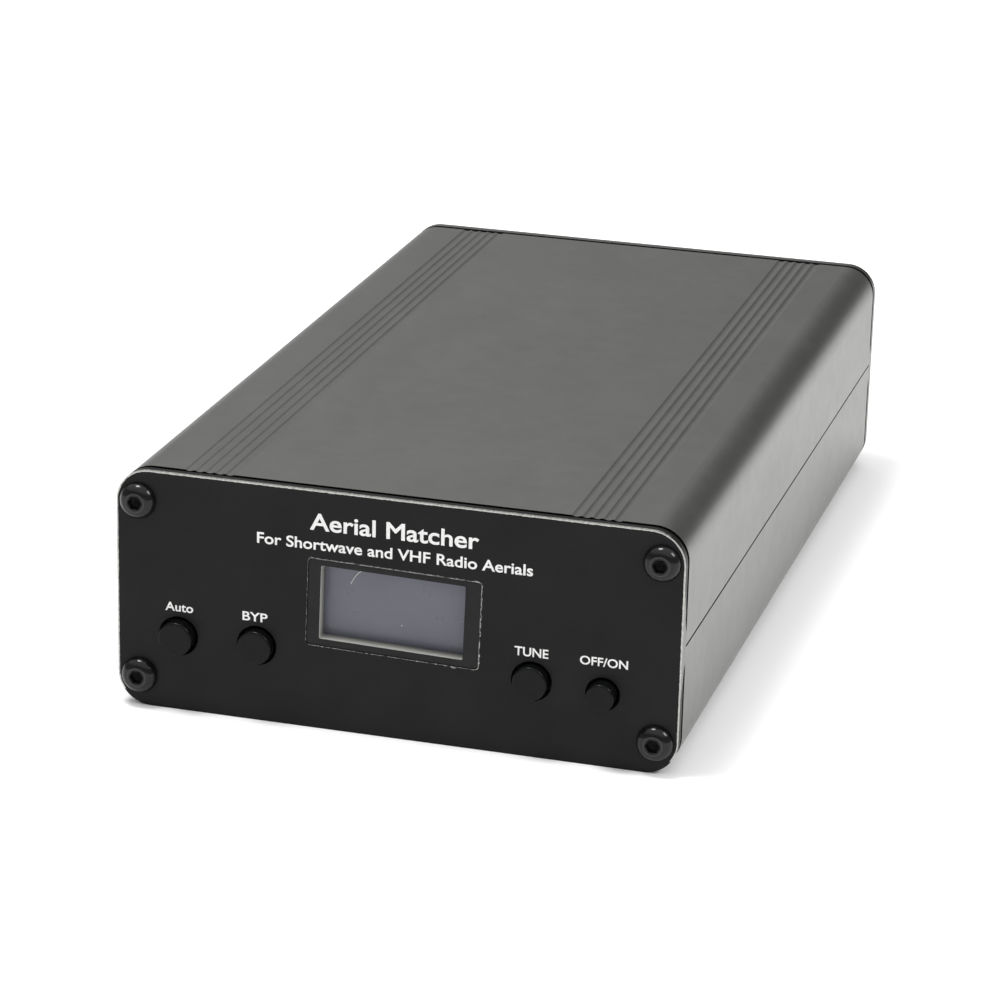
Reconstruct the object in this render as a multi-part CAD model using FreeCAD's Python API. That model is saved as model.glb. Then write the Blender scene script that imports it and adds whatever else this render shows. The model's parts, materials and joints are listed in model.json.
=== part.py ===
import FreeCAD, Part
import math
import os

# Antenna tuner in a split extruded case. Millimetres.
# X is to the right, Y to the back, Z up. The origin is on the bottom face, in the
# middle of the case: the front panel's face is at -CASE_LENGTH/2, the rear one's at +CASE_LENGTH/2.

V = FreeCAD.Vector
X_AXIS = V(1, 0, 0)
Y_AXIS = V(0, 1, 0)
Z_AXIS = V(0, 0, 1)

# ---- case ----
CASE_WIDTH = 88.0
CASE_LENGTH = 152.0
CASE_HEIGHT = 38.0
CASE_CORNER = 5.2
WALL = 2.0
MID_Z = CASE_HEIGHT / 2
FRONT = -CASE_LENGTH / 2
REAR = CASE_LENGTH / 2

PANEL_PLATE = 1.5
PANEL_LAND = 0.9
LAND_INSET = 0.7
LAND_BOW_FOOT = (9.0, 30.0)
LAND_BOW_FLAT = (17.0, 22.0)
SHELL_FRONT = FRONT + PANEL_PLATE + PANEL_LAND
SHELL_REAR = REAR - PANEL_PLATE - PANEL_LAND

SEAM_OFFSET = 0.8
SEAM_GAP = 0.1
SEAM_BEVEL = 0.12
TONGUE = 1.2
LAP_GAP = 0.08

GROOVE_COUNT = 5
GROOVE_PITCH = 1.6
GROOVE_MIDDLE = 30.0
GROOVE_HALF_WIDTH = 0.66
GROOVE_DEPTH = 0.17

# ---- case screws: M3 button head ----
SCREW_X = 40.5
SCREW_Z = 14.1
THREAD_R = 1.45
CHANNEL_R = 1.5
CHANNEL_BOSS_R = 2.3
CHANNEL_SLOT = 1.0
CLEARANCE_HOLE_R = 1.7
HEAD_R = 2.85
HEAD_HEIGHT = 1.65
HEAD_TOP_R = 1.45
SOCKET_FLATS = 2.0
SOCKET_DEPTH = 1.2
CASE_SCREW_LENGTH = 8.0

# ---- main board ----
BOARD_BOTTOM = 5.9
BOARD_THICK = 1.6
BOARD_TOP = BOARD_BOTTOM + BOARD_THICK
BOARD_HALF_WIDTH = 37.9
BOARD_FRONT = -72.6
BOARD_REAR = 58.0
LEAD_R = 0.35
LEAD_TAIL = 1.5
RIB_INNER = 37.2
RIB_OUTER = 38.3
LIP_INNER = 37.1
LIP_HEIGHT = 1.1

# ---- display ----
WINDOW_X = -0.2
WINDOW_Z = 20.0
WINDOW_WIDTH = 27.0
WINDOW_HEIGHT = 13.9
WINDOW_CORNER = 0.6
WINDOW_TILT = 1.35
LIGHT_X = -0.42
LIGHT_Z = 20.09
LIGHT_WIDTH = 22.5
LIGHT_HEIGHT = 11.7
BEZEL_RECESS = 0.15
BEZEL_GAP = 0.1
FILM_THICK = 0.2
GLASS_THICK = 1.45
MODULE_THICK = 1.2
MODULE_WIDTH = 27.3
MODULE_HEIGHT = 26.4
MODULE_RISE = 2.2
GLASS_WIDTH = 26.7
GLASS_HEIGHT = 19.3

# ---- buttons: x, z ----
TACT_BUTTONS = {"auto": (-34.2, 12.0), "bypass": (-21.65, 12.1), "tune": (21.4, 12.1)}
TACT_HOLE_R = 3.15
TACT_CAP_R = 2.7
TACT_PROUD = {"auto": 1.8, "bypass": 1.5, "tune": 1.5}
CAP_FILLET = 0.35
CAP_COLLAR = 0.8
TACT_BODY = 6.0
TACT_BODY_DEPTH = 3.5
TACT_BODY_FRONT = -70.5
STEM_R = 1.7

POWER_BUTTON = (32.3, 11.5)
POWER_HOLE_R = 2.65
POWER_CAP_R = 2.2
POWER_PROUD = 2.0
POWER_TRAVEL = 1.9
POWER_BODY = 8.0
POWER_BODY_FRONT = -67.6
POWER_BODY_DEPTH = 10.0
POWER_STEM = 2.4

# ---- rear sockets ----
SOCKET_X = 24.0
FLANGE = 25.4
FLANGE_THICK = 1.6
FLANGE_HOLE = 9.12
BARREL_R = 7.9375
BARREL_BORE_R = 6.2
BARREL_LENGTH = 11.6
SKIRT_R = 7.2
CONTACT_R = 2.8
CONTACT_BORE_R = 2.0
CONTACT_BORE_DEPTH = 10.0

# ---- power jack ----
JACK_R = 3.95
JACK_BORE_R = 2.85
JACK_PIN_R = 1.03

# ---- relays ----
RELAY_WIDTH = 10.0
RELAY_LENGTH = 15.5
RELAY_HEIGHT = 11.8
RELAY_PITCH = 10.5


# ======== helpers ========

def block(x0, x1, y0, y1, z0, z1):
    return Part.makeBox(x1 - x0, y1 - y0, z1 - z0, V(x0, y0, z0))


def rod(radius, start, length, axis=Y_AXIS):
    return Part.makeCylinder(radius, length, start, axis)


def tube(outer_r, inner_r, start, length, axis=Y_AXIS):
    return rod(outer_r, start, length, axis).cut(rod(inner_r, start, length, axis))


def fuse(shapes):
    whole = shapes[0]
    for shape in shapes[1:]:
        whole = whole.fuse(shape)
    return whole.removeSplitter()


def group(shapes):
    return Part.makeCompound(shapes)


def slab(width, height, corner, y0, y1, centre_x=0.0, centre_z=MID_Z):
    """A plate across the case, width by height with round corners, from y0 to y1."""
    plate = block(centre_x - width / 2, centre_x + width / 2, y0, y1,
                  centre_z - height / 2, centre_z + height / 2)
    edges = [e for e in plate.Edges if abs(e.tangentAt(e.FirstParameter).y) > 0.99]
    return plate.makeFillet(corner, edges)


def tilted(shape, x, z, degrees=WINDOW_TILT):
    """Turn a shape about the Y line through (x, z): the right side goes down."""
    turned = shape.copy()
    turned.rotate(V(x, 0, z), Y_AXIS, degrees)
    return turned


def stand(shape, place, axis):
    """Turn a shape made along +Z to run along the axis, with its origin at the place."""
    shape.Placement = FreeCAD.Placement(place, FreeCAD.Rotation(Z_AXIS, axis))
    return shape


def hex_prism(flats, start, length, axis=Y_AXIS):
    """A hexagonal prism, flats across, from start along the axis."""
    corner_r = flats / math.sqrt(3)
    points = [V(corner_r * math.cos(math.radians(60 * k)), corner_r * math.sin(math.radians(60 * k)), 0)
              for k in range(7)]
    return stand(Part.Face(Part.makePolygon(points)).extrude(V(0, 0, length)), start, axis)


def bent_wire(points, radius, bend):
    """A round wire through the points, straight between them, with arcs of radius bend."""
    edges = []
    last = points[0]
    for before, corner, after in zip(points, points[1:], points[2:]):
        to_corner = (corner - before).normalize()
        from_corner = (after - corner).normalize()
        half_turn = to_corner.getAngle(from_corner) / 2
        reach = bend * math.tan(half_turn)
        arc_start = corner - to_corner * reach
        arc_end = corner + from_corner * reach
        inward = (from_corner - to_corner).normalize()
        arc_middle = corner + inward * (bend / math.cos(half_turn) - bend)
        edges.append(Part.LineSegment(last, arc_start).toShape())
        edges.append(Part.Arc(arc_start, arc_middle, arc_end).toShape())
        last = arc_end
    edges.append(Part.LineSegment(last, points[-1]).toShape())
    direction = (points[1] - points[0]).normalize()
    section = Part.Wire(Part.makeCircle(radius, points[0], direction))
    return Part.Wire(edges).makePipeShell([section], True, False)


def button_head_screw(tip_way, seat, shank_length):
    """An M3 button-head socket screw. seat is the middle of the head's underside."""
    middle_r = HEAD_TOP_R + (HEAD_R - HEAD_TOP_R) * 0.66
    edge = Part.Wire([
        Part.LineSegment(V(0, 0, 0), V(HEAD_R, 0, 0)).toShape(),
        Part.LineSegment(V(HEAD_R, 0, 0), V(HEAD_R, 0, 0.25)).toShape(),
        Part.Arc(V(HEAD_R, 0, 0.25), V(middle_r, 0, 1.18), V(HEAD_TOP_R, 0, HEAD_HEIGHT)).toShape(),
        Part.LineSegment(V(HEAD_TOP_R, 0, HEAD_HEIGHT), V(0, 0, HEAD_HEIGHT)).toShape(),
        Part.LineSegment(V(0, 0, HEAD_HEIGHT), V(0, 0, 0)).toShape()])
    head = Part.Face(edge).revolve(V(0, 0, 0), Z_AXIS, 360)
    socket = hex_prism(SOCKET_FLATS, V(0, 0, HEAD_HEIGHT - SOCKET_DEPTH), SOCKET_DEPTH, Z_AXIS)
    socket_point = Part.makeCone(0.3, SOCKET_FLATS / 2, 0.4, V(0, 0, HEAD_HEIGHT - SOCKET_DEPTH - 0.4))
    tip = Part.makeCone(THREAD_R - 0.45, THREAD_R, 0.45, V(0, 0, -shank_length))
    shank = rod(THREAD_R, V(0, 0, 0.45 - shank_length), shank_length - 0.45, Z_AXIS)
    screw = fuse([head, shank, tip]).cut(socket).cut(socket_point)
    return stand(screw, seat, tip_way * -1)


def pins(places, top, bottom, radius=LEAD_R):
    """Round leads through the main board, at (x, y) places."""
    return [rod(radius, V(x, y, bottom), top - bottom, Z_AXIS) for x, y in places]


# ======== case ========

def seam_cutter(right_side):
    """The solid above the lower shell's seam on one side of the case."""
    edge = CASE_WIDTH / 2
    lap = edge - WALL / 2
    inner = edge - WALL - 1.0
    if right_side:
        outer_top = MID_Z + SEAM_OFFSET - SEAM_GAP / 2
        inner_top = outer_top - TONGUE - LAP_GAP
        outer_limit = lap + LAP_GAP / 2
    else:
        outer_top = MID_Z - SEAM_OFFSET - SEAM_GAP / 2
        inner_top = outer_top + TONGUE
        outer_limit = lap - LAP_GAP / 2
    profile = [(0, outer_top), (inner, inner_top), (outer_limit, inner_top), (outer_limit, outer_top),
               (edge - SEAM_BEVEL, outer_top), (edge + 1, outer_top - (1 + SEAM_BEVEL)),
               (edge + 1, CASE_HEIGHT + 1), (0, CASE_HEIGHT + 1)]
    side = 1 if right_side else -1
    points = [V(side * x, SHELL_FRONT - 1, z) for x, z in profile]
    face = Part.Face(Part.makePolygon(points + [points[0]]))
    return face.extrude(V(0, SHELL_REAR - SHELL_FRONT + 2, 0))


def floor_grooves():
    """Two groups of shallow scallops along the bottom face."""
    length = SHELL_REAR - SHELL_FRONT + 2
    radius = (GROOVE_HALF_WIDTH ** 2 + GROOVE_DEPTH ** 2) / (2 * GROOVE_DEPTH)
    centre_z = GROOVE_DEPTH - radius
    first = GROOVE_MIDDLE - GROOVE_PITCH * (GROOVE_COUNT - 1) / 2
    grooves = []
    for side in (-1, 1):
        for k in range(GROOVE_COUNT):
            x = side * (first + k * GROOVE_PITCH)
            grooves.append(rod(radius, V(x, SHELL_FRONT - 1, centre_z), length))
    return grooves


def shell_half():
    """The lower half of the extruded case: floor, two walls, screw channels and board rails."""
    length = SHELL_REAR - SHELL_FRONT
    outside = slab(CASE_WIDTH, CASE_HEIGHT, CASE_CORNER, SHELL_FRONT, SHELL_REAR)
    cavity = slab(CASE_WIDTH - 2 * WALL, CASE_HEIGHT - 2 * WALL, CASE_CORNER - WALL,
                  SHELL_FRONT - 1, SHELL_REAR + 1)
    half = outside.cut(cavity).cut(seam_cutter(True)).cut(seam_cutter(False))
    channel_z = MID_Z - SCREW_Z
    lip_top = BOARD_TOP + 0.15 + LIP_HEIGHT
    added = []
    for side in (-1, 1):
        added.append(rod(CHANNEL_BOSS_R, V(side * SCREW_X, SHELL_FRONT, channel_z), length))
        rib = sorted([side * RIB_INNER, side * RIB_OUTER])
        added.append(block(rib[0], rib[1], SHELL_FRONT, SHELL_REAR, WALL - 0.2, BOARD_BOTTOM - 0.1))
        lip = sorted([side * LIP_INNER, side * (CASE_WIDTH / 2 - WALL + 0.2)])
        added.append(block(lip[0], lip[1], SHELL_FRONT, SHELL_REAR, BOARD_TOP + 0.15, lip_top))
    half = fuse([half] + added)
    for side in (-1, 1):
        half = half.cut(rod(CHANNEL_R, V(side * SCREW_X, SHELL_FRONT - 1, channel_z), length + 2))
        slot = sorted([side * (SCREW_X - CHANNEL_BOSS_R - 0.5), side * SCREW_X])
        half = half.cut(block(slot[0], slot[1], SHELL_FRONT - 1, SHELL_REAR + 1,
                              channel_z - CHANNEL_SLOT / 2, channel_z + CHANNEL_SLOT / 2))
    return half.cut(group(floor_grooves()))


def upper_from_lower(half):
    """The upper shell is the same extrusion, turned half a turn about the case's long axis."""
    turned = half.copy()
    turned.rotate(V(0, 0, MID_Z), Y_AXIS, 180)
    return turned


def land_bow(side, span):
    """The side of the panel's land, which comes out to the plate's edge at mid-height."""
    edge = CASE_WIDTH / 2
    foot = edge - LAND_INSET
    profile = [(foot - 1, LAND_BOW_FOOT[0]), (foot, LAND_BOW_FOOT[0]), (edge, LAND_BOW_FLAT[0]),
               (edge, LAND_BOW_FLAT[1]), (foot, LAND_BOW_FOOT[1]), (foot - 1, LAND_BOW_FOOT[1])]
    points = [V(side * x, span[0], z) for x, z in profile]
    return Part.Face(Part.makePolygon(points + [points[0]])).extrude(V(0, span[1] - span[0], 0))


def end_panel(outer_y, inward):
    """A plate with an inset land behind it, and clearance holes for the four case screws."""
    plate_inner = outer_y + inward * PANEL_PLATE
    land_inner = plate_inner + inward * PANEL_LAND
    plate_span = sorted([outer_y, plate_inner])
    land_span = sorted([plate_inner, land_inner])
    plate = slab(CASE_WIDTH, CASE_HEIGHT, CASE_CORNER, plate_span[0], plate_span[1])
    land = slab(CASE_WIDTH - 2 * LAND_INSET, CASE_HEIGHT - 2 * LAND_INSET, CASE_CORNER - LAND_INSET,
                land_span[0], land_span[1])
    panel = fuse([plate, land, land_bow(-1, land_span), land_bow(1, land_span)])
    for sx in (-1, 1):
        for sz in (-1, 1):
            start = V(sx * SCREW_X, outer_y - inward, MID_Z + sz * SCREW_Z)
            panel = panel.cut(rod(CLEARANCE_HOLE_R, start, 5, Y_AXIS * inward))
    return panel


def front_panel():
    panel = end_panel(FRONT, 1)
    window = slab(WINDOW_WIDTH, WINDOW_HEIGHT, WINDOW_CORNER, FRONT - 1, SHELL_FRONT + 1, WINDOW_X, WINDOW_Z)
    panel = panel.cut(tilted(window, WINDOW_X, WINDOW_Z))
    for x, z in TACT_BUTTONS.values():
        panel = panel.cut(rod(TACT_HOLE_R, V(x, FRONT - 1, z), 5))
    x, z = POWER_BUTTON
    return panel.cut(rod(POWER_HOLE_R, V(x, FRONT - 1, z), 5))


def rear_panel():
    panel = end_panel(REAR, -1)
    for side in (-1, 1):
        panel = panel.cut(rod(SKIRT_R + 0.4, V(side * SOCKET_X, SHELL_REAR - 1, MID_Z), 5))
        for x, z in flange_holes(side * SOCKET_X):
            panel = panel.cut(rod(CLEARANCE_HOLE_R, V(x, SHELL_REAR - 1, z), 5))
    return panel.cut(rod(JACK_R + 0.1, V(0, SHELL_REAR - 1, MID_Z), 5))


def case_screws(seat_y, inward):
    screws = []
    for sx in (-1, 1):
        for sz in (-1, 1):
            seat = V(sx * SCREW_X, seat_y, MID_Z + sz * SCREW_Z)
            screws.append(button_head_screw(Y_AXIS * inward, seat, CASE_SCREW_LENGTH))
    return group(screws)


# ======== display ========

def display_bezel():
    """Black-faced frame that fills the panel's window around the screen."""
    front_y = FRONT + BEZEL_RECESS
    outside = slab(WINDOW_WIDTH - 2 * BEZEL_GAP, WINDOW_HEIGHT - 2 * BEZEL_GAP, WINDOW_CORNER - BEZEL_GAP,
                   front_y, SHELL_FRONT, WINDOW_X, WINDOW_Z)
    opening = slab(LIGHT_WIDTH, LIGHT_HEIGHT, 0.25, front_y - 1, SHELL_FRONT + 1, LIGHT_X, LIGHT_Z)
    return tilted(outside, WINDOW_X, WINDOW_Z).cut(tilted(opening, LIGHT_X, LIGHT_Z))


def oled_film():
    y0 = SHELL_FRONT + 0.05
    film = slab(GLASS_WIDTH - 0.6, GLASS_HEIGHT - 3.0, 0.3, y0, y0 + FILM_THICK, LIGHT_X, LIGHT_Z - 0.2)
    return tilted(film, LIGHT_X, LIGHT_Z)


def oled_glass():
    y0 = SHELL_FRONT + 0.05 + FILM_THICK
    glass = slab(GLASS_WIDTH, GLASS_HEIGHT, 0.3, y0, y0 + GLASS_THICK, LIGHT_X, LIGHT_Z)
    return tilted(glass, LIGHT_X, LIGHT_Z)


def oled_board_back():
    return SHELL_FRONT + 0.05 + FILM_THICK + GLASS_THICK + MODULE_THICK


def oled_board():
    y1 = oled_board_back()
    centre_z = LIGHT_Z + MODULE_RISE
    board = slab(MODULE_WIDTH, MODULE_HEIGHT, 1.0, y1 - MODULE_THICK, y1, LIGHT_X, centre_z)
    for sx in (-1, 1):
        for sz in (-1, 1):
            x = LIGHT_X + sx * (MODULE_WIDTH / 2 - 2.0)
            z = centre_z + sz * (MODULE_HEIGHT / 2 - 2.0)
            board = board.cut(rod(1.05, V(x, y1 - MODULE_THICK - 1, z), MODULE_THICK + 2))
    board = tilted(board, LIGHT_X, LIGHT_Z)
    for x, z in oled_pin_places():
        board = board.cut(rod(0.45, V(x, y1 - MODULE_THICK - 1, z), MODULE_THICK + 2))
    return board


def oled_pin_places():
    """Where the four pins pass through the tilted display module."""
    turn = math.radians(WINDOW_TILT)
    down = MODULE_HEIGHT / 2 - MODULE_RISE - 1.6
    along = [2.54 * (k - 1.5) for k in range(4)]
    return [(LIGHT_X + x * math.cos(turn) - down * math.sin(turn),
             LIGHT_Z - x * math.sin(turn) - down * math.cos(turn)) for x in along]


def oled_header():
    """Four bent pins in a plastic strip, which stand the display module on the main board."""
    back = oled_board_back()
    down_y = back + 3.2
    places = oled_pin_places()
    strip_z = (places[0][1] + places[-1][1]) / 2
    strip = block(places[0][0] - 1.27, places[-1][0] + 1.27, back + 0.1, back + 2.4,
                  strip_z - 1.2, strip_z + 1.2)
    bent_pins = []
    for x, z in places:
        points = [V(x, back - MODULE_THICK, z), V(x, down_y, z), V(x, down_y, BOARD_BOTTOM - LEAD_TAIL)]
        bent_pins.append(bent_wire(points, 0.32, 0.8))
    return fuse([strip] + bent_pins)


# ======== momentary buttons ========

def cap_solid(x, z, radius, face_y, back_y, collar_r, collar_y):
    """A round cap with a softened front edge and a collar that is wider than its hole."""
    cap = rod(radius, V(x, face_y, z), back_y - face_y)
    front_edge = [e for e in cap.Edges if abs(e.BoundBox.YMax - face_y) < 0.001]
    cap = cap.makeFillet(CAP_FILLET, front_edge)
    collar = rod(collar_r, V(x, collar_y, z), CAP_COLLAR)
    return fuse([cap, collar])


def tact_cap(name):
    x, z = TACT_BUTTONS[name]
    face_y = FRONT - TACT_PROUD[name]
    back_y = TACT_BODY_FRONT - 0.4
    cap = cap_solid(x, z, TACT_CAP_R, face_y, back_y, TACT_CAP_R + 0.8, SHELL_FRONT + 0.4)
    bore_depth = 2.4
    return cap.cut(rod(STEM_R + 0.03, V(x, back_y - bore_depth, z), bore_depth + 1))


def tact_plunger(name):
    """The stem that the cap sits on, with a foot inside the switch and a nub that works the dome."""
    x, z = TACT_BUTTONS[name]
    foot_front = TACT_BODY_FRONT + 0.45
    stem_front = TACT_BODY_FRONT - 0.4 - 2.35
    stem = rod(STEM_R, V(x, stem_front, z), foot_front - stem_front + 0.1)
    foot = rod(2.2, V(x, foot_front, z), 0.65)
    nub = rod(0.8, V(x, foot_front + 0.6, z), 0.3)
    return fuse([stem, foot, nub])


def tact_body(name):
    x, z = TACT_BUTTONS[name]
    y0 = TACT_BODY_FRONT
    half = TACT_BODY / 2
    body = block(x - half, x + half, y0, y0 + TACT_BODY_DEPTH, z - half, z + half)
    body = body.cut(rod(2.5, V(x, y0 + 0.4, z), 2.2))
    body = body.cut(rod(STEM_R + 0.1, V(x, y0 - 1, z), 2))
    places = [(x + sx * 2.25, y0 + dy) for sx in (-1, 1) for dy in (1.0, 2.6)]
    leads = pins(places, z - half + 0.3, BOARD_BOTTOM - LEAD_TAIL)
    return fuse([body] + leads)


def tact_dome(name):
    """The snap dome: a thin domed disc on the floor of the switch, crown to the front."""
    x, z = TACT_BUTTONS[name]
    floor_y = TACT_BODY_FRONT + 2.55
    rise = 0.8
    rim_r = 2.1
    ball_r = (rim_r ** 2 + rise ** 2) / (2 * rise)
    centre = V(x, floor_y - rise + ball_r, z)
    outer = Part.makeSphere(ball_r, centre)
    inner = Part.makeSphere(ball_r - 0.12, centre)
    keep = rod(rim_r + 1, V(x, floor_y - rise - 0.5, z), rise + 0.5)
    return outer.cut(inner).common(keep)


def tact_bracket(name):
    """The folded metal bracket behind a switch body, with two legs through the board."""
    x, z = TACT_BUTTONS[name]
    back_y = TACT_BODY_FRONT + TACT_BODY_DEPTH + 0.05
    half = TACT_BODY / 2 - 0.2
    plate = block(x - half, x + half, back_y, back_y + 0.4, BOARD_TOP + 0.4, z + half + 0.65)
    roof = block(x - half, x + half, TACT_BODY_FRONT + 0.8, back_y + 0.4, z + half + 0.25, z + half + 0.65)
    legs = [block(x + dx - 0.4, x + dx + 0.4, back_y, back_y + 0.4, BOARD_BOTTOM - LEAD_TAIL, BOARD_TOP + 0.6)
            for dx in (-2.3, 2.3)]
    return fuse([plate, roof] + legs)


# ======== power button ========

def power_cap():
    x, z = POWER_BUTTON
    back_y = POWER_BODY_FRONT - POWER_TRAVEL - 0.8
    cap = cap_solid(x, z, POWER_CAP_R, FRONT - POWER_PROUD, back_y, POWER_CAP_R + 0.8, SHELL_FRONT + 0.4)
    half = POWER_STEM / 2 + 0.04
    return cap.cut(block(x - half, x + half, back_y - 2.6, back_y + 1, z - half, z + half))


def power_plunger():
    """Square stem through the switch, with a shoulder for the return spring and a slider inside."""
    x, z = POWER_BUTTON
    half = POWER_STEM / 2
    stem_front = POWER_BODY_FRONT - POWER_TRAVEL - 0.8 - 2.5
    slider_front = POWER_BODY_FRONT + 0.85
    stem = block(x - half, x + half, stem_front, slider_front + 0.2, z - half, z + half)
    slider = block(x - 2.4, x + 2.4, slider_front, slider_front + 4.4, z - 1.4, z + 1.4)
    track = block(x - 0.5, x + 0.5, slider_front + 0.9, slider_front + 3.6, z + 0.9, z + 2)
    tail = rod(0.8, V(x, slider_front + 4.2, z), 1.3)
    return fuse([stem, slider, tail]).cut(track)


def power_body():
    x, z = POWER_BUTTON
    y0 = POWER_BODY_FRONT
    half = POWER_BODY / 2
    body = block(x - half, x + half, y0, y0 + POWER_BODY_DEPTH, z - half + 0.3, z + half)
    body = body.cut(block(x - 2.6, x + 2.6, y0 + 0.8, y0 + 9.2, z - 1.6, z + 1.6))
    body = body.cut(block(x - 0.9, x + 0.9, y0 + 0.8, y0 + 5.4, z + 1.5, z + half + 1))
    opening = POWER_STEM / 2 + 0.1
    body = body.cut(block(x - opening, x + opening, y0 - 1, y0 + 1, z - opening, z + opening))
    places = [(x + sx * 2.5, y0 + dy) for sx in (-1, 1) for dy in (2.0, 5.0, 8.0)]
    leads = pins(places, z - half + 0.6, BOARD_BOTTOM - LEAD_TAIL)
    return fuse([body] + leads)


def power_frame():
    """The metal saddle folded over the power switch, with two legs through the board."""
    x, z = POWER_BUTTON
    half = POWER_BODY / 2
    y0 = POWER_BODY_FRONT + 6.0
    roof = block(x - half - 0.4, x + half + 0.4, y0, y0 + 3.0, z + half + 0.02, z + half + 0.32)
    sides = [block(x + sx * (half + 0.22) - 0.18, x + sx * (half + 0.22) + 0.18, y0 + 0.6, y0 + 2.4,
                   BOARD_BOTTOM - LEAD_TAIL, z + half + 0.2) for sx in (-1, 1)]
    return fuse([roof] + sides)


def power_spring():
    """The return spring in its compressed stack, behind the slider and round its tail."""
    x, z = POWER_BUTTON
    start = POWER_BODY_FRONT + 0.85 + 4.45
    length = POWER_BODY_FRONT + 9.15 - start
    return tube(1.35, 1.0, V(x, start, z), length)


def power_latch_pin():
    """The bent wire that follows the heart-shaped track in the slider."""
    x, z = POWER_BUTTON
    track_y = POWER_BODY_FRONT + 4.1
    anchor_y = POWER_BODY_FRONT + 0.8
    high = z + POWER_BODY / 2 - 0.5
    points = [V(x, track_y, z + 1.1), V(x, track_y, high), V(x, anchor_y, high)]
    return bent_wire(points, 0.2, 0.5)


# ======== main board and its parts ========

def lead_holes():
    """Places (x, y, hole radius) of the holes in the main board."""
    holes = []
    for x, _ in TACT_BUTTONS.values():
        holes += [(x + sx * 2.25, TACT_BODY_FRONT + dy, 0.5) for sx in (-1, 1) for dy in (1.0, 2.6)]
        bracket_y = TACT_BODY_FRONT + TACT_BODY_DEPTH + 0.25
        holes += [(x + dx, bracket_y, 0.55) for dx in (-2.3, 2.3)]
    x = POWER_BUTTON[0]
    holes += [(x + sx * 2.5, POWER_BODY_FRONT + dy, 0.5) for sx in (-1, 1) for dy in (2.0, 5.0, 8.0)]
    holes += [(x + sx * (POWER_BODY / 2 + 0.22), POWER_BODY_FRONT + 7.5, 1.05) for sx in (-1, 1)]
    holes += [(px, oled_board_back() + 3.2, 0.5) for px, _ in oled_pin_places()]
    for centre_x, centre_y in relay_places():
        holes += [(px, py, 0.5) for px, py in relay_leads(centre_x, centre_y)]
    for places in (coil_leads(), toroid_leads(), capacitor_leads(), driver_leads(), controller_leads(),
                   regulator_leads(), electrolytic_leads(), header_leads(), coupler_leads()):
        holes += [(px, py, 0.5) for px, py in places]
    holes += [(px, py, 0.85) for px, py in wire_ends()]
    return holes


def main_board():
    board = block(-BOARD_HALF_WIDTH, BOARD_HALF_WIDTH, BOARD_FRONT, BOARD_REAR, BOARD_BOTTOM, BOARD_TOP)
    drills = [rod(r, V(x, y, BOARD_BOTTOM - 1), BOARD_THICK + 2, Z_AXIS) for x, y, r in lead_holes()]
    return board.cut(group(drills))


CAPACITOR_ROW_Y = -22.0
INDUCTOR_ROW_Y = 16.0
BYPASS_PLACES = [(-31.5, 40.0), (31.5, 40.0)]


def row_places(y):
    return [(RELAY_PITCH * (k - 3), y) for k in range(7)]


def relay_places():
    return row_places(CAPACITOR_ROW_Y) + row_places(INDUCTOR_ROW_Y) + BYPASS_PLACES


def relay_leads(x, y):
    return [(x, y - 6.0), (x - 3.75, y - 4.0), (x + 3.75, y - 4.0), (x - 3.75, y + 6.0), (x + 3.75, y + 6.0)]


def relay(x, y):
    """A sealed relay: a can with softened upright edges and five leads."""
    z0 = BOARD_TOP + 0.1
    can = block(x - RELAY_WIDTH / 2, x + RELAY_WIDTH / 2, y - RELAY_LENGTH / 2, y + RELAY_LENGTH / 2,
                z0, z0 + RELAY_HEIGHT)
    edges = [e for e in can.Edges if e.BoundBox.ZMax > z0 + 1]
    can = can.makeFillet(0.5, edges)
    return fuse([can] + pins(relay_leads(x, y), z0 + 0.5, BOARD_BOTTOM - LEAD_TAIL))


COIL_Y = 2.0
COIL_TURNS_LENGTH = {-24.0: 12.0, -4.0: 9.0, 14.0: 6.0}
COIL_R = 4.0
COIL_WIRE_R = 0.5


def coil_leads():
    leads = []
    for x, length in COIL_TURNS_LENGTH.items():
        leads += [(x - length / 2 + COIL_WIRE_R, COIL_Y), (x + length / 2 - COIL_WIRE_R, COIL_Y)]
    return leads


def air_coil(x, length):
    """A close-wound air coil: the sleeve that its turns fill, and two straight ends."""
    axis_z = BOARD_TOP + COIL_R + 1.2
    turns = tube(COIL_R, COIL_R - 2 * COIL_WIRE_R, V(x - length / 2, COIL_Y, axis_z), length, X_AXIS)
    ends = [(x - length / 2 + COIL_WIRE_R, COIL_Y), (x + length / 2 - COIL_WIRE_R, COIL_Y)]
    tails = pins(ends, axis_z - COIL_R + COIL_WIRE_R, BOARD_BOTTOM - LEAD_TAIL, 0.45)
    return fuse([turns] + tails)


# x, outer radius, inner radius, thickness of each upright ring core
TOROIDS = [(-19.2, 12.0, 7.1, 7.9), (-9.6, 8.75, 4.7, 4.8), (9.6, 8.75, 4.7, 4.8), (19.2, 12.0, 7.1, 7.9)]
TOROID_Y = 40.0
TOROID_WIRE = 0.9
TOROID_WIRE_GAP = 0.02
WINDING_OPEN_ANGLE = 60.0
WINDING_TAIL_ANGLE = 37.0


def toroid_centre(x, outer_r):
    return V(x, TOROID_Y, BOARD_TOP + outer_r + TOROID_WIRE + 0.5)


def winding_tails(x, outer_r, thick):
    """Where a winding's two ends leave it, as points on the ring's two sides."""
    angle = math.radians(WINDING_TAIL_ANGLE)
    reach = thick / 2 + TOROID_WIRE_GAP + TOROID_WIRE / 2
    down = (outer_r - 1.0) * math.cos(angle)
    along = (outer_r - 1.0) * math.sin(angle)
    return [toroid_centre(x, outer_r) + V(side * reach, side * along, -down) for side in (-1, 1)]


def toroid_leads():
    return [(end.x, end.y) for x, outer_r, _, thick in TOROIDS for end in winding_tails(x, outer_r, thick)]


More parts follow.
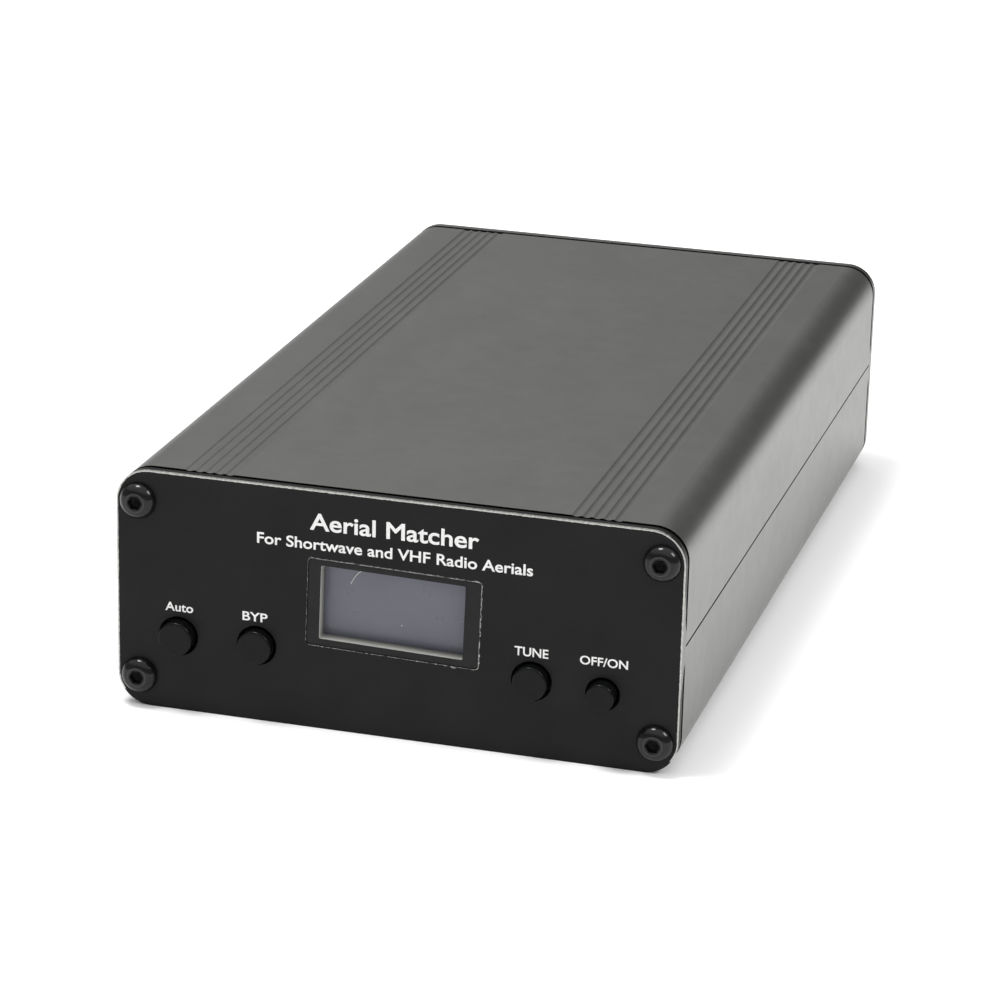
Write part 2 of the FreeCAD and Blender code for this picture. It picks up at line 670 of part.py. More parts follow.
def toroid_core(x, outer_r, inner_r, thick):
    centre = toroid_centre(x, outer_r)
    core = tube(outer_r, inner_r, centre - X_AXIS * (thick / 2), thick, X_AXIS)
    rims = [e for e in core.Edges if e.Closed and e.BoundBox.XLength < 0.01]
    return core.makeFillet(0.7, rims)


def toroid_winding(x, outer_r, inner_r, thick):
    """The layer of wire round a ring core: a sleeve over most of the ring, and two straight ends."""
    centre = toroid_centre(x, outer_r)
    gap = TOROID_WIRE_GAP
    half_wide = thick / 2 + TOROID_WIRE + gap
    outer = tube(outer_r + TOROID_WIRE + gap, inner_r - TOROID_WIRE - gap,
                 centre - X_AXIS * half_wide, 2 * half_wide, X_AXIS)
    core_space = tube(outer_r + gap, inner_r - gap, centre - X_AXIS * (thick / 2 + gap),
                      thick + 2 * gap, X_AXIS)
    half_open = math.radians(WINDING_OPEN_ANGLE / 2)
    reach = 2 * outer_r
    wedge_points = [V(0, 0, 0), V(0, -reach * math.sin(half_open), -reach * math.cos(half_open)),
                    V(0, reach * math.sin(half_open), -reach * math.cos(half_open)), V(0, 0, 0)]
    wedge = Part.Face(Part.makePolygon(wedge_points)).extrude(X_AXIS * (2 * half_wide + 2))
    wedge.translate(centre - X_AXIS * (half_wide + 1))
    sleeve = outer.cut(core_space).cut(wedge)
    low = BOARD_BOTTOM - LEAD_TAIL
    tails = [rod(0.42, V(end.x, end.y, low), end.z + 0.8 - low, Z_AXIS)
             for end in winding_tails(x, outer_r, thick)]
    return fuse([sleeve] + tails)


def capacitor_places():
    return [(RELAY_PITCH * (k - 3), -9.5) for k in range(7)]


def capacitor_leads():
    return [(x + dx, y) for x, y in capacitor_places() for dx in (-2.5, 2.5)]


def tuning_capacitor(x, y):
    """A dipped disc capacitor on two leads."""
    z = BOARD_TOP + 5.0
    disc = rod(3.8, V(x, y - 1.3, z), 2.6)
    disc = disc.makeFillet(1.1, [e for e in disc.Edges if e.Closed and e.BoundBox.YLength < 0.01])
    return fuse([disc] + pins([(x - 2.5, y), (x + 2.5, y)], z - 1.5, BOARD_BOTTOM - LEAD_TAIL, 0.3))


def chip(x, y, length, width, lead_places):
    """A dual-in-line chip lying along X."""
    z0 = BOARD_TOP + 0.5
    body = block(x - length / 2, x + length / 2, y - width / 2, y + width / 2, z0, z0 + 3.4)
    notch = rod(0.9, V(x - length / 2, y, z0 + 3.0), 1.0, Z_AXIS)
    body = body.cut(notch)
    return fuse([body] + pins(lead_places, z0 + 0.8, BOARD_BOTTOM - LEAD_TAIL, 0.3))


def line_leads(x, y, count, row_gap):
    first = x - 2.54 * (count - 1) / 2
    return [(first + 2.54 * k, y + side * row_gap / 2) for k in range(count) for side in (-1, 1)]


CONTROLLER = (0.0, -52.0)
DRIVERS = [(-18.0, -38.5), (18.0, -38.5)]


def controller_leads():
    return line_leads(CONTROLLER[0], CONTROLLER[1], 14, 7.62 - 2.0)


def driver_leads():
    return [place for x, y in DRIVERS for place in line_leads(x, y, 9, 7.62 - 2.0)]


def microcontroller():
    return chip(CONTROLLER[0], CONTROLLER[1], 35.0, 7.2, controller_leads())


def relay_drivers():
    return group([chip(x, y, 23.0, 7.2, line_leads(x, y, 9, 7.62 - 2.0)) for x, y in DRIVERS])


REGULATOR = (34.0, -40.0)


def regulator_leads():
    return [(REGULATOR[0], REGULATOR[1] + dy) for dy in (-2.54, 0.0, 2.54)]


def voltage_regulator():
    """An upright power regulator: moulded body, metal tab with its hole, three leads."""
    x, y = REGULATOR
    z0 = BOARD_TOP + 3.5
    body = block(x - 2.2, x + 1.0, y - 5.1, y + 5.1, z0, z0 + 9.2)
    tab = block(x + 0.9, x + 2.2, y - 5.1, y + 5.1, z0, z0 + 15.4)
    tab = tab.cut(rod(1.8, V(x, y, z0 + 12.4), 3, X_AXIS))
    return fuse([body, tab] + pins(regulator_leads(), z0 + 0.5, BOARD_BOTTOM - LEAD_TAIL, 0.4))


ELECTROLYTICS = [(-32.0, -57.5, 4.0, 11.5), (-32.0, -47.3, 4.0, 11.5), (23.0, -60.5, 3.15, 11.0)]


def electrolytic_leads():
    return [(x + dx, y) for x, y, _, _ in ELECTROLYTICS for dx in (-1.25, 1.25)]


def electrolytic(x, y, radius, height):
    """A can capacitor with the rolled groove near its foot."""
    z0 = BOARD_TOP + 0.1
    can = rod(radius, V(x, y, z0), height, Z_AXIS)
    can = can.makeFillet(0.5, [e for e in can.Edges if e.BoundBox.ZMin > z0 + height - 0.1])
    groove = tube(radius + 1, radius - 0.35, V(x, y, z0 + 1.4), 0.8, Z_AXIS)
    leads = pins([(x - 1.25, y), (x + 1.25, y)], z0 + 0.5, BOARD_BOTTOM - LEAD_TAIL)
    return fuse([can.cut(groove)] + leads)


HEADER = (-5.08, -61.0)


def header_leads():
    return [(HEADER[0] + 2.54 * k, HEADER[1]) for k in range(5)]


def programming_header():
    x, y = HEADER
    strip = block(x - 1.27, x + 4 * 2.54 + 1.27, y - 1.27, y + 1.27, BOARD_TOP + 0.1, BOARD_TOP + 2.6)
    return fuse([strip] + pins(header_leads(), BOARD_TOP + 8.6, BOARD_BOTTOM - LEAD_TAIL, 0.32))


# the directional coupler: two ring cores side by side on one line
COUPLER_Z = BOARD_TOP + 7.5
COUPLER_RING = (4.8, 2.4, 4.8)
COUPLER_RINGS_Y = (34.0, 46.0)
COUPLER_TAIL_X = 4.8


def coupler_leads():
    return [(0.0, 28.5), (0.0, 51.5)] + [(sx * COUPLER_TAIL_X, y) for y in COUPLER_RINGS_Y
                                         for sx in (-1, 1)]


def coupler_cores():
    outer_r, inner_r, thick = COUPLER_RING
    return group([tube(outer_r, inner_r, V(0, y - thick / 2, COUPLER_Z), thick) for y in COUPLER_RINGS_Y])


def coupler_windings():
    """A single layer of fine wire on the upper part of each coupler ring, with two ends."""
    outer_r, inner_r, thick = COUPLER_RING
    wire = 0.4
    windings = []
    for y in COUPLER_RINGS_Y:
        wide = thick + 2 * wire
        sleeve = tube(outer_r + wire, inner_r - wire, V(0, y - wide / 2, COUPLER_Z), wide)
        sleeve = sleeve.cut(tube(outer_r + 0.02, inner_r - 0.02, V(0, y - thick / 2 - 0.02, COUPLER_Z),
                                 thick + 0.04))
        sleeve = sleeve.cut(block(-8, 8, y - 5, y + 5, COUPLER_Z - 8, COUPLER_Z - 2.6))
        tails = pins([(sx * COUPLER_TAIL_X, y) for sx in (-1, 1)], COUPLER_Z - 1.0,
                     BOARD_BOTTOM - LEAD_TAIL, 0.17)
        windings.append(fuse([sleeve] + tails))
    return group(windings)


def coupler_line():
    """The stiff line that passes through both coupler rings, bent down to the board at each end."""
    low = BOARD_BOTTOM - LEAD_TAIL
    points = [V(0, 28.5, low), V(0, 28.5, COUPLER_Z), V(0, 51.5, COUPLER_Z), V(0, 51.5, low)]
    return bent_wire(points, 0.45, 1.6)


# ======== rear sockets, jack and inner wires ========

def flange_holes(centre_x):
    return [(centre_x + sx * FLANGE_HOLE, MID_Z + sz * FLANGE_HOLE) for sx in (-1, 1) for sz in (-1, 1)]


def socket_mouth():
    return REAR + FLANGE_THICK + BARREL_LENGTH


def socket_shell(x):
    """Square flange, threaded barrel with a castellated mouth, and a skirt through the panel."""
    mouth = socket_mouth()
    flange = slab(FLANGE, FLANGE, 1.6, REAR, REAR + FLANGE_THICK, x, MID_Z)
    barrel = rod(BARREL_R, V(x, REAR, MID_Z), mouth - REAR)
    barrel = barrel.makeChamfer(0.5, [e for e in barrel.Edges if e.BoundBox.YMin > mouth - 0.01])
    skirt = rod(SKIRT_R, V(x, REAR - 6.0, MID_Z), 6.0)
    shell = fuse([flange, barrel, skirt])
    shell = shell.cut(rod(BARREL_BORE_R, V(x, REAR - 7, MID_Z), mouth - REAR + 8))
    notch = block(x - 9, x + 9, mouth - 0.9, mouth + 1, MID_Z - 0.7, MID_Z + 0.7)
    for turn in (45, 135):
        shell = shell.cut(tilted(notch, x, MID_Z, turn))
    for px, pz in flange_holes(x):
        shell = shell.cut(rod(1.6, V(px, REAR - 1, pz), 4))
    return shell


def socket_insulator(x):
    start = REAR - 9.0
    front = socket_mouth() - 5.0
    body = rod(BARREL_BORE_R - 0.02, V(x, REAR - 6.0, MID_Z), front - REAR + 6.0)
    tail = rod(4.2, V(x, start, MID_Z), 4.0)
    return fuse([body, tail]).cut(rod(CONTACT_R + 0.02, V(x, start - 1, MID_Z), front - start + 2))


def socket_contact(x):
    """The centre contact: a split sleeve that takes the plug's pin, with a solder cup behind."""
    front = socket_mouth() - 4.6
    body = rod(CONTACT_R, V(x, REAR - 9.5, MID_Z), front - REAR + 9.5)
    cup = rod(1.7, V(x, REAR - 14.0, MID_Z), 5.0)
    contact = fuse([body, cup])
    bore_start = V(x, front - CONTACT_BORE_DEPTH, MID_Z)
    contact = contact.cut(rod(CONTACT_BORE_R, bore_start, CONTACT_BORE_DEPTH + 1))
    contact = contact.cut(rod(1.1, V(x, REAR - 15.0, MID_Z), 4.5))
    slit = block(x - 4, x + 4, front - 6.0, front + 1, MID_Z - 0.2, MID_Z + 0.2)
    return contact.cut(slit)


def socket_screws():
    """Eight M3 screws: through the flanges and the rear panel, heads outside."""
    screws = []
    for side in (-1, 1):
        for x, z in flange_holes(side * SOCKET_X):
            screws.append(button_head_screw(V(0, -1, 0), V(x, REAR + FLANGE_THICK, z), 8.0))
    return group(screws)


def socket_nuts():
    nuts = []
    for side in (-1, 1):
        for x, z in flange_holes(side * SOCKET_X):
            nut = hex_prism(5.5, V(x, SHELL_REAR - 2.4, z), 2.4)
            nuts.append(nut.cut(rod(THREAD_R + 0.05, V(x, SHELL_REAR - 3.4, z), 4.4)))
    return group(nuts)


JACK_FACE = REAR + 1.8
JACK_REAR = REAR - 12.0


def power_jack_body():
    body = rod(JACK_R, V(0, JACK_REAR, MID_Z), REAR - JACK_REAR + 0.5)
    flange = rod(5.2, V(0, REAR, MID_Z), JACK_FACE - REAR)
    flange = flange.makeFillet(0.4, [e for e in flange.Edges if e.BoundBox.YMin > JACK_FACE - 0.01])
    return fuse([body, flange]).cut(rod(JACK_BORE_R, V(0, JACK_REAR - 1, MID_Z), JACK_FACE - JACK_REAR + 2))


def power_jack_insulator():
    """The plug of plastic at the bottom of the jack."""
    plug = rod(JACK_BORE_R - 0.02, V(0, JACK_REAR, MID_Z), 3.6)
    back = rod(JACK_R, V(0, JACK_REAR - 1.5, MID_Z), 1.5)
    tab_slot = block(1.5, 2.5, JACK_REAR - 6, JACK_REAR + 1.5, MID_Z - 1.1, MID_Z + 1.1)
    return fuse([plug, back]).cut(rod(JACK_PIN_R + 0.02, V(0, JACK_REAR - 2, MID_Z), 7)).cut(tab_slot)


def power_jack_pin():
    pin = rod(JACK_PIN_R, V(0, JACK_REAR - 5.0, MID_Z), JACK_FACE - 1.0 - JACK_REAR + 5.0)
    return pin.makeFillet(0.5, [e for e in pin.Edges if e.BoundBox.YMin > JACK_FACE - 1.01])


def power_jack_tab():
    """The sleeve's solder tab, standing out of the back of the jack."""
    return block(1.6, 2.4, JACK_REAR - 5.5, JACK_REAR + 1.4, MID_Z - 1.0, MID_Z + 1.0)


def power_jack_nut():
    nut = hex_prism(10.0, V(0, SHELL_REAR - 2.2, MID_Z), 2.2)
    return nut.cut(rod(JACK_R + 0.05, V(0, SHELL_REAR - 3.2, MID_Z), 4.2))


WIRE_R = 0.65
WIRE_DOWN_Y = 56.5


def wire_ends():
    return [(-SOCKET_X, WIRE_DOWN_Y), (SOCKET_X, WIRE_DOWN_Y),
            (0.0, WIRE_DOWN_Y - 1.0), (4.5, WIRE_DOWN_Y - 1.0)]


def socket_lead(side):
    """The wire from a socket's solder cup down to the main board."""
    x = side * SOCKET_X
    start = REAR - 11.0
    points = [V(x, start, MID_Z), V(x, WIRE_DOWN_Y, MID_Z), V(x, WIRE_DOWN_Y, BOARD_BOTTOM - 1.0)]
    return bent_wire(points, WIRE_R, 3.0)


def power_leads():
    """Two wires from the power jack down to the main board."""
    y = WIRE_DOWN_Y - 1.0
    start = JACK_REAR - 5.05
    pin_wire = bent_wire([V(0, start, MID_Z), V(0, y, MID_Z), V(0, y, BOARD_BOTTOM - 1.0)], WIRE_R, 2.5)
    tab_wire = bent_wire([V(2.0, start - 0.5, MID_Z), V(2.0, y + 1.2, MID_Z), V(4.5, y, MID_Z - 4.0),
                          V(4.5, y, BOARD_BOTTOM - 1.0)], WIRE_R, 0.8)
    return group([pin_wire, tab_wire])


# ======== build ========

def every_node():
    lower = shell_half()
    nodes = {
        "lower_case_shell": lower,
        "upper_case_shell": upper_from_lower(lower),
        "front_panel": front_panel(),
        "rear_panel": rear_panel(),
        "front_panel_screws": case_screws(FRONT, 1),
        "rear_panel_screws": case_screws(REAR, -1),
        "display_bezel": display_bezel(),
        "oled_film": oled_film(),
        "oled_glass": oled_glass(),
        "oled_board": oled_board(),
        "oled_header": oled_header(),
        "main_board": main_board(),
        "tact_switch_bodies": group([tact_body(name) for name in TACT_BUTTONS]),
        "tact_switch_domes": group([tact_dome(name) for name in TACT_BUTTONS]),
        "tact_switch_brackets": group([tact_bracket(name) for name in TACT_BUTTONS]),
        "power_button_cap": power_cap(),
        "power_switch_plunger": power_plunger(),
        "power_switch_body": power_body(),
        "power_switch_frame": power_frame(),
        "power_switch_spring": power_spring(),
        "power_switch_latch_pin": power_latch_pin(),
        "capacitor_relays": group([relay(x, y) for x, y in row_places(CAPACITOR_ROW_Y)]),
        "inductor_relays": group([relay(x, y) for x, y in row_places(INDUCTOR_ROW_Y)]),
        "bypass_relays": group([relay(x, y) for x, y in BYPASS_PLACES]),
        "air_coils": group([air_coil(x, length) for x, length in COIL_TURNS_LENGTH.items()]),
        "toroid_cores": group([toroid_core(*ring) for ring in TOROIDS]),
        "toroid_windings": group([toroid_winding(*ring) for ring in TOROIDS]),
        "coupler_cores": coupler_cores(),
        "coupler_windings": coupler_windings(),
        "coupler_line": coupler_line(),
        "tuning_capacitors": group([tuning_capacitor(x, y) for x, y in capacitor_places()]),
        "microcontroller": microcontroller(),
        "relay_drivers": relay_drivers(),
        "voltage_regulator": voltage_regulator(),
        "electrolytic_capacitors": group([electrolytic(*can) for can in ELECTROLYTICS]),
        "programming_header": programming_header(),
        "socket_screws": socket_screws(),
        "socket_nuts": socket_nuts(),
        "power_jack_body": power_jack_body(),
        "power_jack_insulator": power_jack_insulator(),
        "power_jack_pin": power_jack_pin(),
        "power_jack_tab": power_jack_tab(),
        "power_jack_nut": power_jack_nut(),
        "input_lead": socket_lead(-1),
        "antenna_lead": socket_lead(1),
        "power_leads": power_leads(),
    }
    for name in TACT_BUTTONS:
        nodes[name + "_button_cap"] = tact_cap(name)
        nodes[name + "_switch_plunger"] = tact_plunger(name)
    for name, side in (("input", -1), ("antenna", 1)):
        nodes[name + "_socket_shell"] = socket_shell(side * SOCKET_X)
        nodes[name + "_socket_insulator"] = socket_insulator(side * SOCKET_X)
        nodes[name + "_socket_contact"] = socket_contact(side * SOCKET_X)
    return nodes


os.makedirs("parts", exist_ok=True)
for node_name, node_shape in every_node().items():
    node_shape.exportStep("parts/" + node_name + ".step")
    sound = all(solid.isValid() for solid in node_shape.Solids)
    print(node_name, len(node_shape.Solids), round(node_shape.Volume, 2), "valid" if sound else "NOT VALID")
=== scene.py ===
import bmesh
import bpy
import json
import math
import random
from mathutils import Matrix, Vector


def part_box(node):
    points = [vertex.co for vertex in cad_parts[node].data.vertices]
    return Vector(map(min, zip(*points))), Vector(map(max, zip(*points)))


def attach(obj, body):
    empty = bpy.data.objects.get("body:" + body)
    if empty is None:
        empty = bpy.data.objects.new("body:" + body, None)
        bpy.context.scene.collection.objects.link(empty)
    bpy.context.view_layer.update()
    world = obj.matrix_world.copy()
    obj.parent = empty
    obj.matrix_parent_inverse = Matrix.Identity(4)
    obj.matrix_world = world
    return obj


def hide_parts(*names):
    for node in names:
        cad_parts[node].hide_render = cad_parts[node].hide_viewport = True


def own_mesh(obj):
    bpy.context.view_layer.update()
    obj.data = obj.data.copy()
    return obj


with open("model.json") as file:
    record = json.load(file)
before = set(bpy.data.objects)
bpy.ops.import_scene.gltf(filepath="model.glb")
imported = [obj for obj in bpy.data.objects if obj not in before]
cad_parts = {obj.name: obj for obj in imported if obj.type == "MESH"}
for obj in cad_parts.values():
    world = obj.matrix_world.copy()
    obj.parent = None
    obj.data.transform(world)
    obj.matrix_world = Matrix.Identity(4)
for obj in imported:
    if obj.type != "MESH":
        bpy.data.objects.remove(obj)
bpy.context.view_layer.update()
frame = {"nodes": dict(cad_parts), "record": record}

MM = 0.001
CASE = "case"

# ---- places read from the frame, in metres ----
PANEL_LOW, PANEL_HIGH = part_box("front_panel")
FRONT_Y = PANEL_LOW[1]
MID_Z = (PANEL_LOW[2] + PANEL_HIGH[2]) / 2
HALF_WIDTH = PANEL_HIGH[0]


# ======== camera, floor and light ========

CAMERA_AZIMUTH = 15.478
CAMERA_ELEVATION = 19.382
CAMERA_ROLL = 1.452
CAMERA_DISTANCE = 0.608598
CAMERA_RIGHT = -0.0045883
CAMERA_UP = 0.0119447
CAMERA_LENS = 128.895
SENSOR_WIDTH = 36.0
CLIP_START = 0.01


def add_camera():
    """The camera looks past the front right corner, from above."""
    azimuth = math.radians(CAMERA_AZIMUTH)
    elevation = math.radians(CAMERA_ELEVATION)
    roll = math.radians(CAMERA_ROLL)
    back = Vector((math.sin(azimuth) * math.cos(elevation),
                   -math.cos(azimuth) * math.cos(elevation), math.sin(elevation)))
    level = Vector((0, 0, 1)).cross(back).normalized()
    upright = back.cross(level)
    right = math.cos(roll) * level + math.sin(roll) * upright
    up = math.cos(roll) * upright - math.sin(roll) * level
    place = back * CAMERA_DISTANCE + right * CAMERA_RIGHT + up * CAMERA_UP
    camera = bpy.data.objects.new("camera", bpy.data.cameras.new("camera"))
    camera.data.sensor_width = SENSOR_WIDTH
    camera.data.lens = CAMERA_LENS
    camera.data.clip_start = CLIP_START
    turn = Matrix((right, up, back)).transposed().to_4x4()
    camera.matrix_world = Matrix.Translation(place) @ turn
    bpy.context.collection.objects.link(camera)
    bpy.context.scene.camera = camera


def add_area_light(name, place, aim, size, power):
    light = bpy.data.lights.new(name, "AREA")
    light.shape = "RECTANGLE"
    light.size, light.size_y = size
    light.energy = power
    lamp = bpy.data.objects.new(name, light)
    lamp.location = place
    lamp.rotation_euler = (Vector(aim) - Vector(place)).to_track_quat("-Z", "Y").to_euler()
    bpy.context.collection.objects.link(lamp)


FLOOR_REACH = 3.0
FLOOR_DROP = 0.00005


def add_stage():
    """A plain pale floor, a hair below the object."""
    mesh = bpy.data.meshes.new("floor")
    corners = [(sx * FLOOR_REACH, sy * FLOOR_REACH, 0) for sx, sy in ((-1, -1), (1, -1), (1, 1), (-1, 1))]
    mesh.from_pydata(corners, [], [(0, 1, 2, 3)])
    floor = bpy.data.objects.new("floor", mesh)
    floor.location.z = -FLOOR_DROP
    bpy.context.collection.objects.link(floor)
    paint = bpy.data.materials.new("floor_paint")
    paint.use_nodes = True
    shader = paint.node_tree.nodes["Principled BSDF"]
    shader.inputs["Base Color"].default_value = (0.9, 0.9, 0.9, 1)
    shader.inputs["Roughness"].default_value = 0.9
    mesh.materials.append(paint)


# brightness of the studio by the sine of the height above the horizon, halved and moved up by 0.5
SKY = [(0.0, 1.0), (0.495, 1.0), (0.51, 0.42), (0.59, 0.33), (0.69, 0.25), (0.80, 1.05), (1.0, 1.35)]
# a dark corner of the studio, behind on the right
DARK_WAY = (0.353, 0.895, 0.272)
DARK_EDGE, DARK_MIDDLE = 0.78, 0.965
DARK_DEPTH = 0.9
# place, aim, size and power of each softbox
SOFTBOXES = {"top_softbox": ((-0.20, -0.10, 0.90), (0, 0, 0), (0.26, 0.26), 5.0),
             "right_softbox": ((0.65, -0.12, 0.60), (0.10, 0.05, 0), (0.26, 0.26), 2.8)}


def add_light():
    """A dim far wall with a dark corner, a bright ceiling and two softboxes."""
    world = bpy.data.worlds.new("studio")
    bpy.context.scene.world = world
    world.use_nodes = True
    tree = world.node_tree
    sky = tree.nodes["Background"]
    place = tree.nodes.new("ShaderNodeTexCoord")
    split = tree.nodes.new("ShaderNodeSeparateXYZ")
    tree.links.new(place.outputs["Generated"], split.inputs["Vector"])
    height = tree.nodes.new("ShaderNodeMapRange")
    height.inputs["From Min"].default_value = -1.0
    tree.links.new(split.outputs["Z"], height.inputs["Value"])
    ramp = tree.nodes.new("ShaderNodeValToRGB")
    stops = ramp.color_ramp.elements
    while len(stops) < len(SKY):
        stops.new(0.5)
    for stop, (position, bright) in zip(stops, SKY):
        stop.position = position
        stop.color = (bright, bright, bright, 1)
    tree.links.new(height.outputs["Result"], ramp.inputs["Fac"])
    tree.links.new(ramp.outputs["Color"], sky.inputs["Color"])
    near = tree.nodes.new("ShaderNodeVectorMath")
    near.operation = "DOT_PRODUCT"
    near.inputs[1].default_value = DARK_WAY
    tree.links.new(place.outputs["Generated"], near.inputs[0])
    dark = tree.nodes.new("ShaderNodeMapRange")
    dark.interpolation_type = "SMOOTHSTEP"
    dark.inputs["From Min"].default_value = DARK_EDGE
    dark.inputs["From Max"].default_value = DARK_MIDDLE
    dark.inputs["To Min"].default_value = 1.0
    dark.inputs["To Max"].default_value = 1.0 - DARK_DEPTH
    tree.links.new(near.outputs["Value"], dark.inputs["Value"])
    tree.links.new(dark.outputs["Result"], sky.inputs["Strength"])
    for name, row in SOFTBOXES.items():
        add_area_light(name, *row)


# ======== material helpers ========

COAT_ROUGHNESS = 0.1


class Paint:
    """A node material with a principled shader, and short calls for the nodes that feed it."""

    def __init__(self, name, colour, roughness, metallic=0.0, specular=0.5, coat=0.0):
        self.material = bpy.data.materials.new(name)
        self.material.use_nodes = True
        self.tree = self.material.node_tree
        self.shader = self.tree.nodes["Principled BSDF"]
        self.set("Base Color", (*colour, 1))
        self.set("Roughness", roughness)
        self.set("Metallic", metallic)
        self.set("Specular IOR Level", specular)
        self.set("Coat Weight", coat)
        self.set("Coat Roughness", COAT_ROUGHNESS)
        self.coordinates = self.tree.nodes.new("ShaderNodeTexCoord")

    def set(self, socket, value):
        self.shader.inputs[socket].default_value = value

    def node(self, kind, **settings):
        node = self.tree.nodes.new("ShaderNode" + kind)
        for key, value in settings.items():
            setattr(node, key, value)
        return node

    def join(self, source, target):
        self.tree.links.new(source, target)

    def noise(self, grain, detail=3.0, stretch=(1, 1, 1)):
        """Noise whose lumps are about grain millimetres across, longer where stretch is larger."""
        mapping = self.node("Mapping")
        mapping.inputs["Scale"].default_value = [1 / (grain * MM * s) for s in stretch]
        self.join(self.coordinates.outputs["Object"], mapping.inputs["Vector"])
        noise = self.node("TexNoise")
        noise.inputs["Scale"].default_value = 1.0
        noise.inputs["Detail"].default_value = detail
        self.join(mapping.outputs["Vector"], noise.inputs["Vector"])
        return noise.outputs["Fac"]

    def ramp(self, source, stops):
        """stops are (position, colour or number) pairs."""
        ramp = self.node("ValToRGB")
        elements = ramp.color_ramp.elements
        while len(elements) < len(stops):
            elements.new(0.5)
        for element, (position, value) in zip(elements, stops):
            element.position = position
            element.color = (*value, 1) if isinstance(value, tuple) else (value, value, value, 1)
        self.join(source, ramp.inputs["Fac"])
        return ramp.outputs["Color"]

    def math(self, operation, first, second=0.0):
        node = self.node("Math", operation=operation)
        for socket, value in zip(node.inputs, (first, second)):
            if isinstance(value, (int, float)):
                socket.default_value = value
            else:
                self.join(value, socket)
        return node.outputs["Value"]

    def minus(self, first, second):
        return self.math("SUBTRACT", first, second)

    def times(self, first, second):
        return self.math("MULTIPLY", first, second)

    def below(self, first, second):
        """1 where first is less than second, and 0 elsewhere."""
        return self.math("LESS_THAN", first, second)

    def above(self, first, second):
        """1 where first is greater than second, and 0 elsewhere."""
        return self.math("GREATER_THAN", first, second)

    def length(self, first, second):
        """The length of the vector with these two components."""
        return self.math("SQRT", self.math("ADD", self.times(first, first), self.times(second, second)))

    def remap(self, source, source_span, span):
        """The source moved in a straight line from one span to another, held at the ends."""
        node = self.node("MapRange")
        node.inputs["From Min"].default_value, node.inputs["From Max"].default_value = source_span
        node.inputs["To Min"].default_value, node.inputs["To Max"].default_value = span
        self.join(source, node.inputs["Value"])
        return node.outputs["Result"]

    def blend(self, factor, first, second):
        """The first colour where factor is 0, and the second where it is 1."""
        mix = self.node("Mix", data_type="RGBA")
        self.join(factor, mix.inputs["Factor"])
        for socket, value in ((mix.inputs["A"], first), (mix.inputs["B"], second)):
            if isinstance(value, tuple):
                socket.default_value = (*value, 1)
            else:
                self.join(value, socket)
        return mix.outputs["Result"]

    def place(self, axis):
        """The object-space place along an axis, in metres."""
        split = self.node("SeparateXYZ")
        self.join(self.coordinates.outputs["Object"], split.inputs["Vector"])
        return split.outputs[axis]

    def away_from(self, axis, middle):
        """The distance along an axis from a place on it, in metres."""
        return self.math("ABSOLUTE", self.minus(self.place(axis), middle))

    def facing(self, axis):
        """How far the surface faces along an axis, from 0 to 1."""
        split = self.node("SeparateXYZ")
        self.join(self.coordinates.outputs["Normal"], split.inputs["Vector"])
        return self.math("ABSOLUTE", split.outputs[axis])

    def colour(self, source):
        self.join(source, self.shader.inputs["Base Color"])

    def roughness(self, source):
        self.join(source, self.shader.inputs["Roughness"])

    def bump(self, *heights):
        """heights are (source, depth in mm) pairs, stacked."""
        last = None
        for source, depth in heights:
            bump = self.node("Bump")
            bump.inputs["Strength"].default_value = 1.0
            bump.inputs["Distance"].default_value = depth * MM
            self.join(source, bump.inputs["Height"])
            if last:
                self.join(last, bump.inputs["Normal"])
            last = bump.outputs["Normal"]
        self.join(last, self.shader.inputs["Normal"])


# ======== materials ========

SEAM_RIGHT, SEAM_LEFT = 19.8, 18.2
# half width of the seam's painted shade at the front and at the back, in millimetres
SEAM_SHADE_HALF_FRONT, SEAM_SHADE_HALF_BACK = 0.21, 0.08
# a surface faces an axis squarely above the first, and lies along it below the second
FACING, BESIDE = 0.9, 0.5


def case_aluminium():
    """Grey anodised extrusion: a fine matte grain, with painted shade making the seam and the cut ends
    near-black.
    """
    paint = Paint("case_aluminium", (0.19, 0.195, 0.185), 0.38, metallic=0.9)
    cloud = paint.noise(9.0, 3.0, (1, 2.5, 1))
    skin = paint.ramp(cloud, [(0.3, (0.186, 0.190, 0.181)), (0.7, (0.200, 0.204, 0.195))])
    on_right = paint.above(paint.place("X"), 0.0)
    seam_z = paint.math("ADD", SEAM_LEFT * MM, paint.times(on_right, (SEAM_RIGHT - SEAM_LEFT) * MM))
    seam_shade_half = paint.remap(paint.place("Y"), (FRONT_Y, -FRONT_Y),
                            (SEAM_SHADE_HALF_FRONT * MM, SEAM_SHADE_HALF_BACK * MM))
    # painted shade: near-black where shade falls in the seam between the two halves and on the shells' cut
    # ends behind the panels
    seam_shade = paint.below(paint.away_from("Z", seam_z), seam_shade_half)
    cut_end_shade = paint.above(paint.facing("Y"), FACING)
    paint.colour(paint.blend(paint.math("MAXIMUM", seam_shade, cut_end_shade), skin, (0.015, 0.015, 0.015)))
    paint.roughness(paint.ramp(paint.noise(3.0, 4.0), [(0.3, 0.365), (0.7, 0.40)]))
    grain = paint.noise(0.14, 2.0)
    draw_lines = paint.noise(0.5, 2.0, (1, 90, 1))
    paint.bump((grain, 0.0025), (draw_lines, 0.00015))
    return paint.material


# the bare edge of the front panel: a strip round its face, how deep it goes on the sides and on the top,
# and the dull grey that reaches further back at mid-height on the sides; the foot of the panel is all black
BARE_STRIP, BARE_SIDE, BARE_TOP, BARE_MIDDLE = 0.22, 0.15, 0.5, 2.6
BARE_LOW_Z = 2.2
BARE_MIDDLE_Z = 20.5
# the dull grey is whole within the first distance of mid-height, and gone beyond the second
DULL_WHOLE, DULL_GONE = 2.5, 8.5
RAGGED = 0.4
FACE_DEPTH = 0.1
TOP_BAND = 0.8
PANEL_CORNER = 5.2
EDGE_WIDTH = 1.7


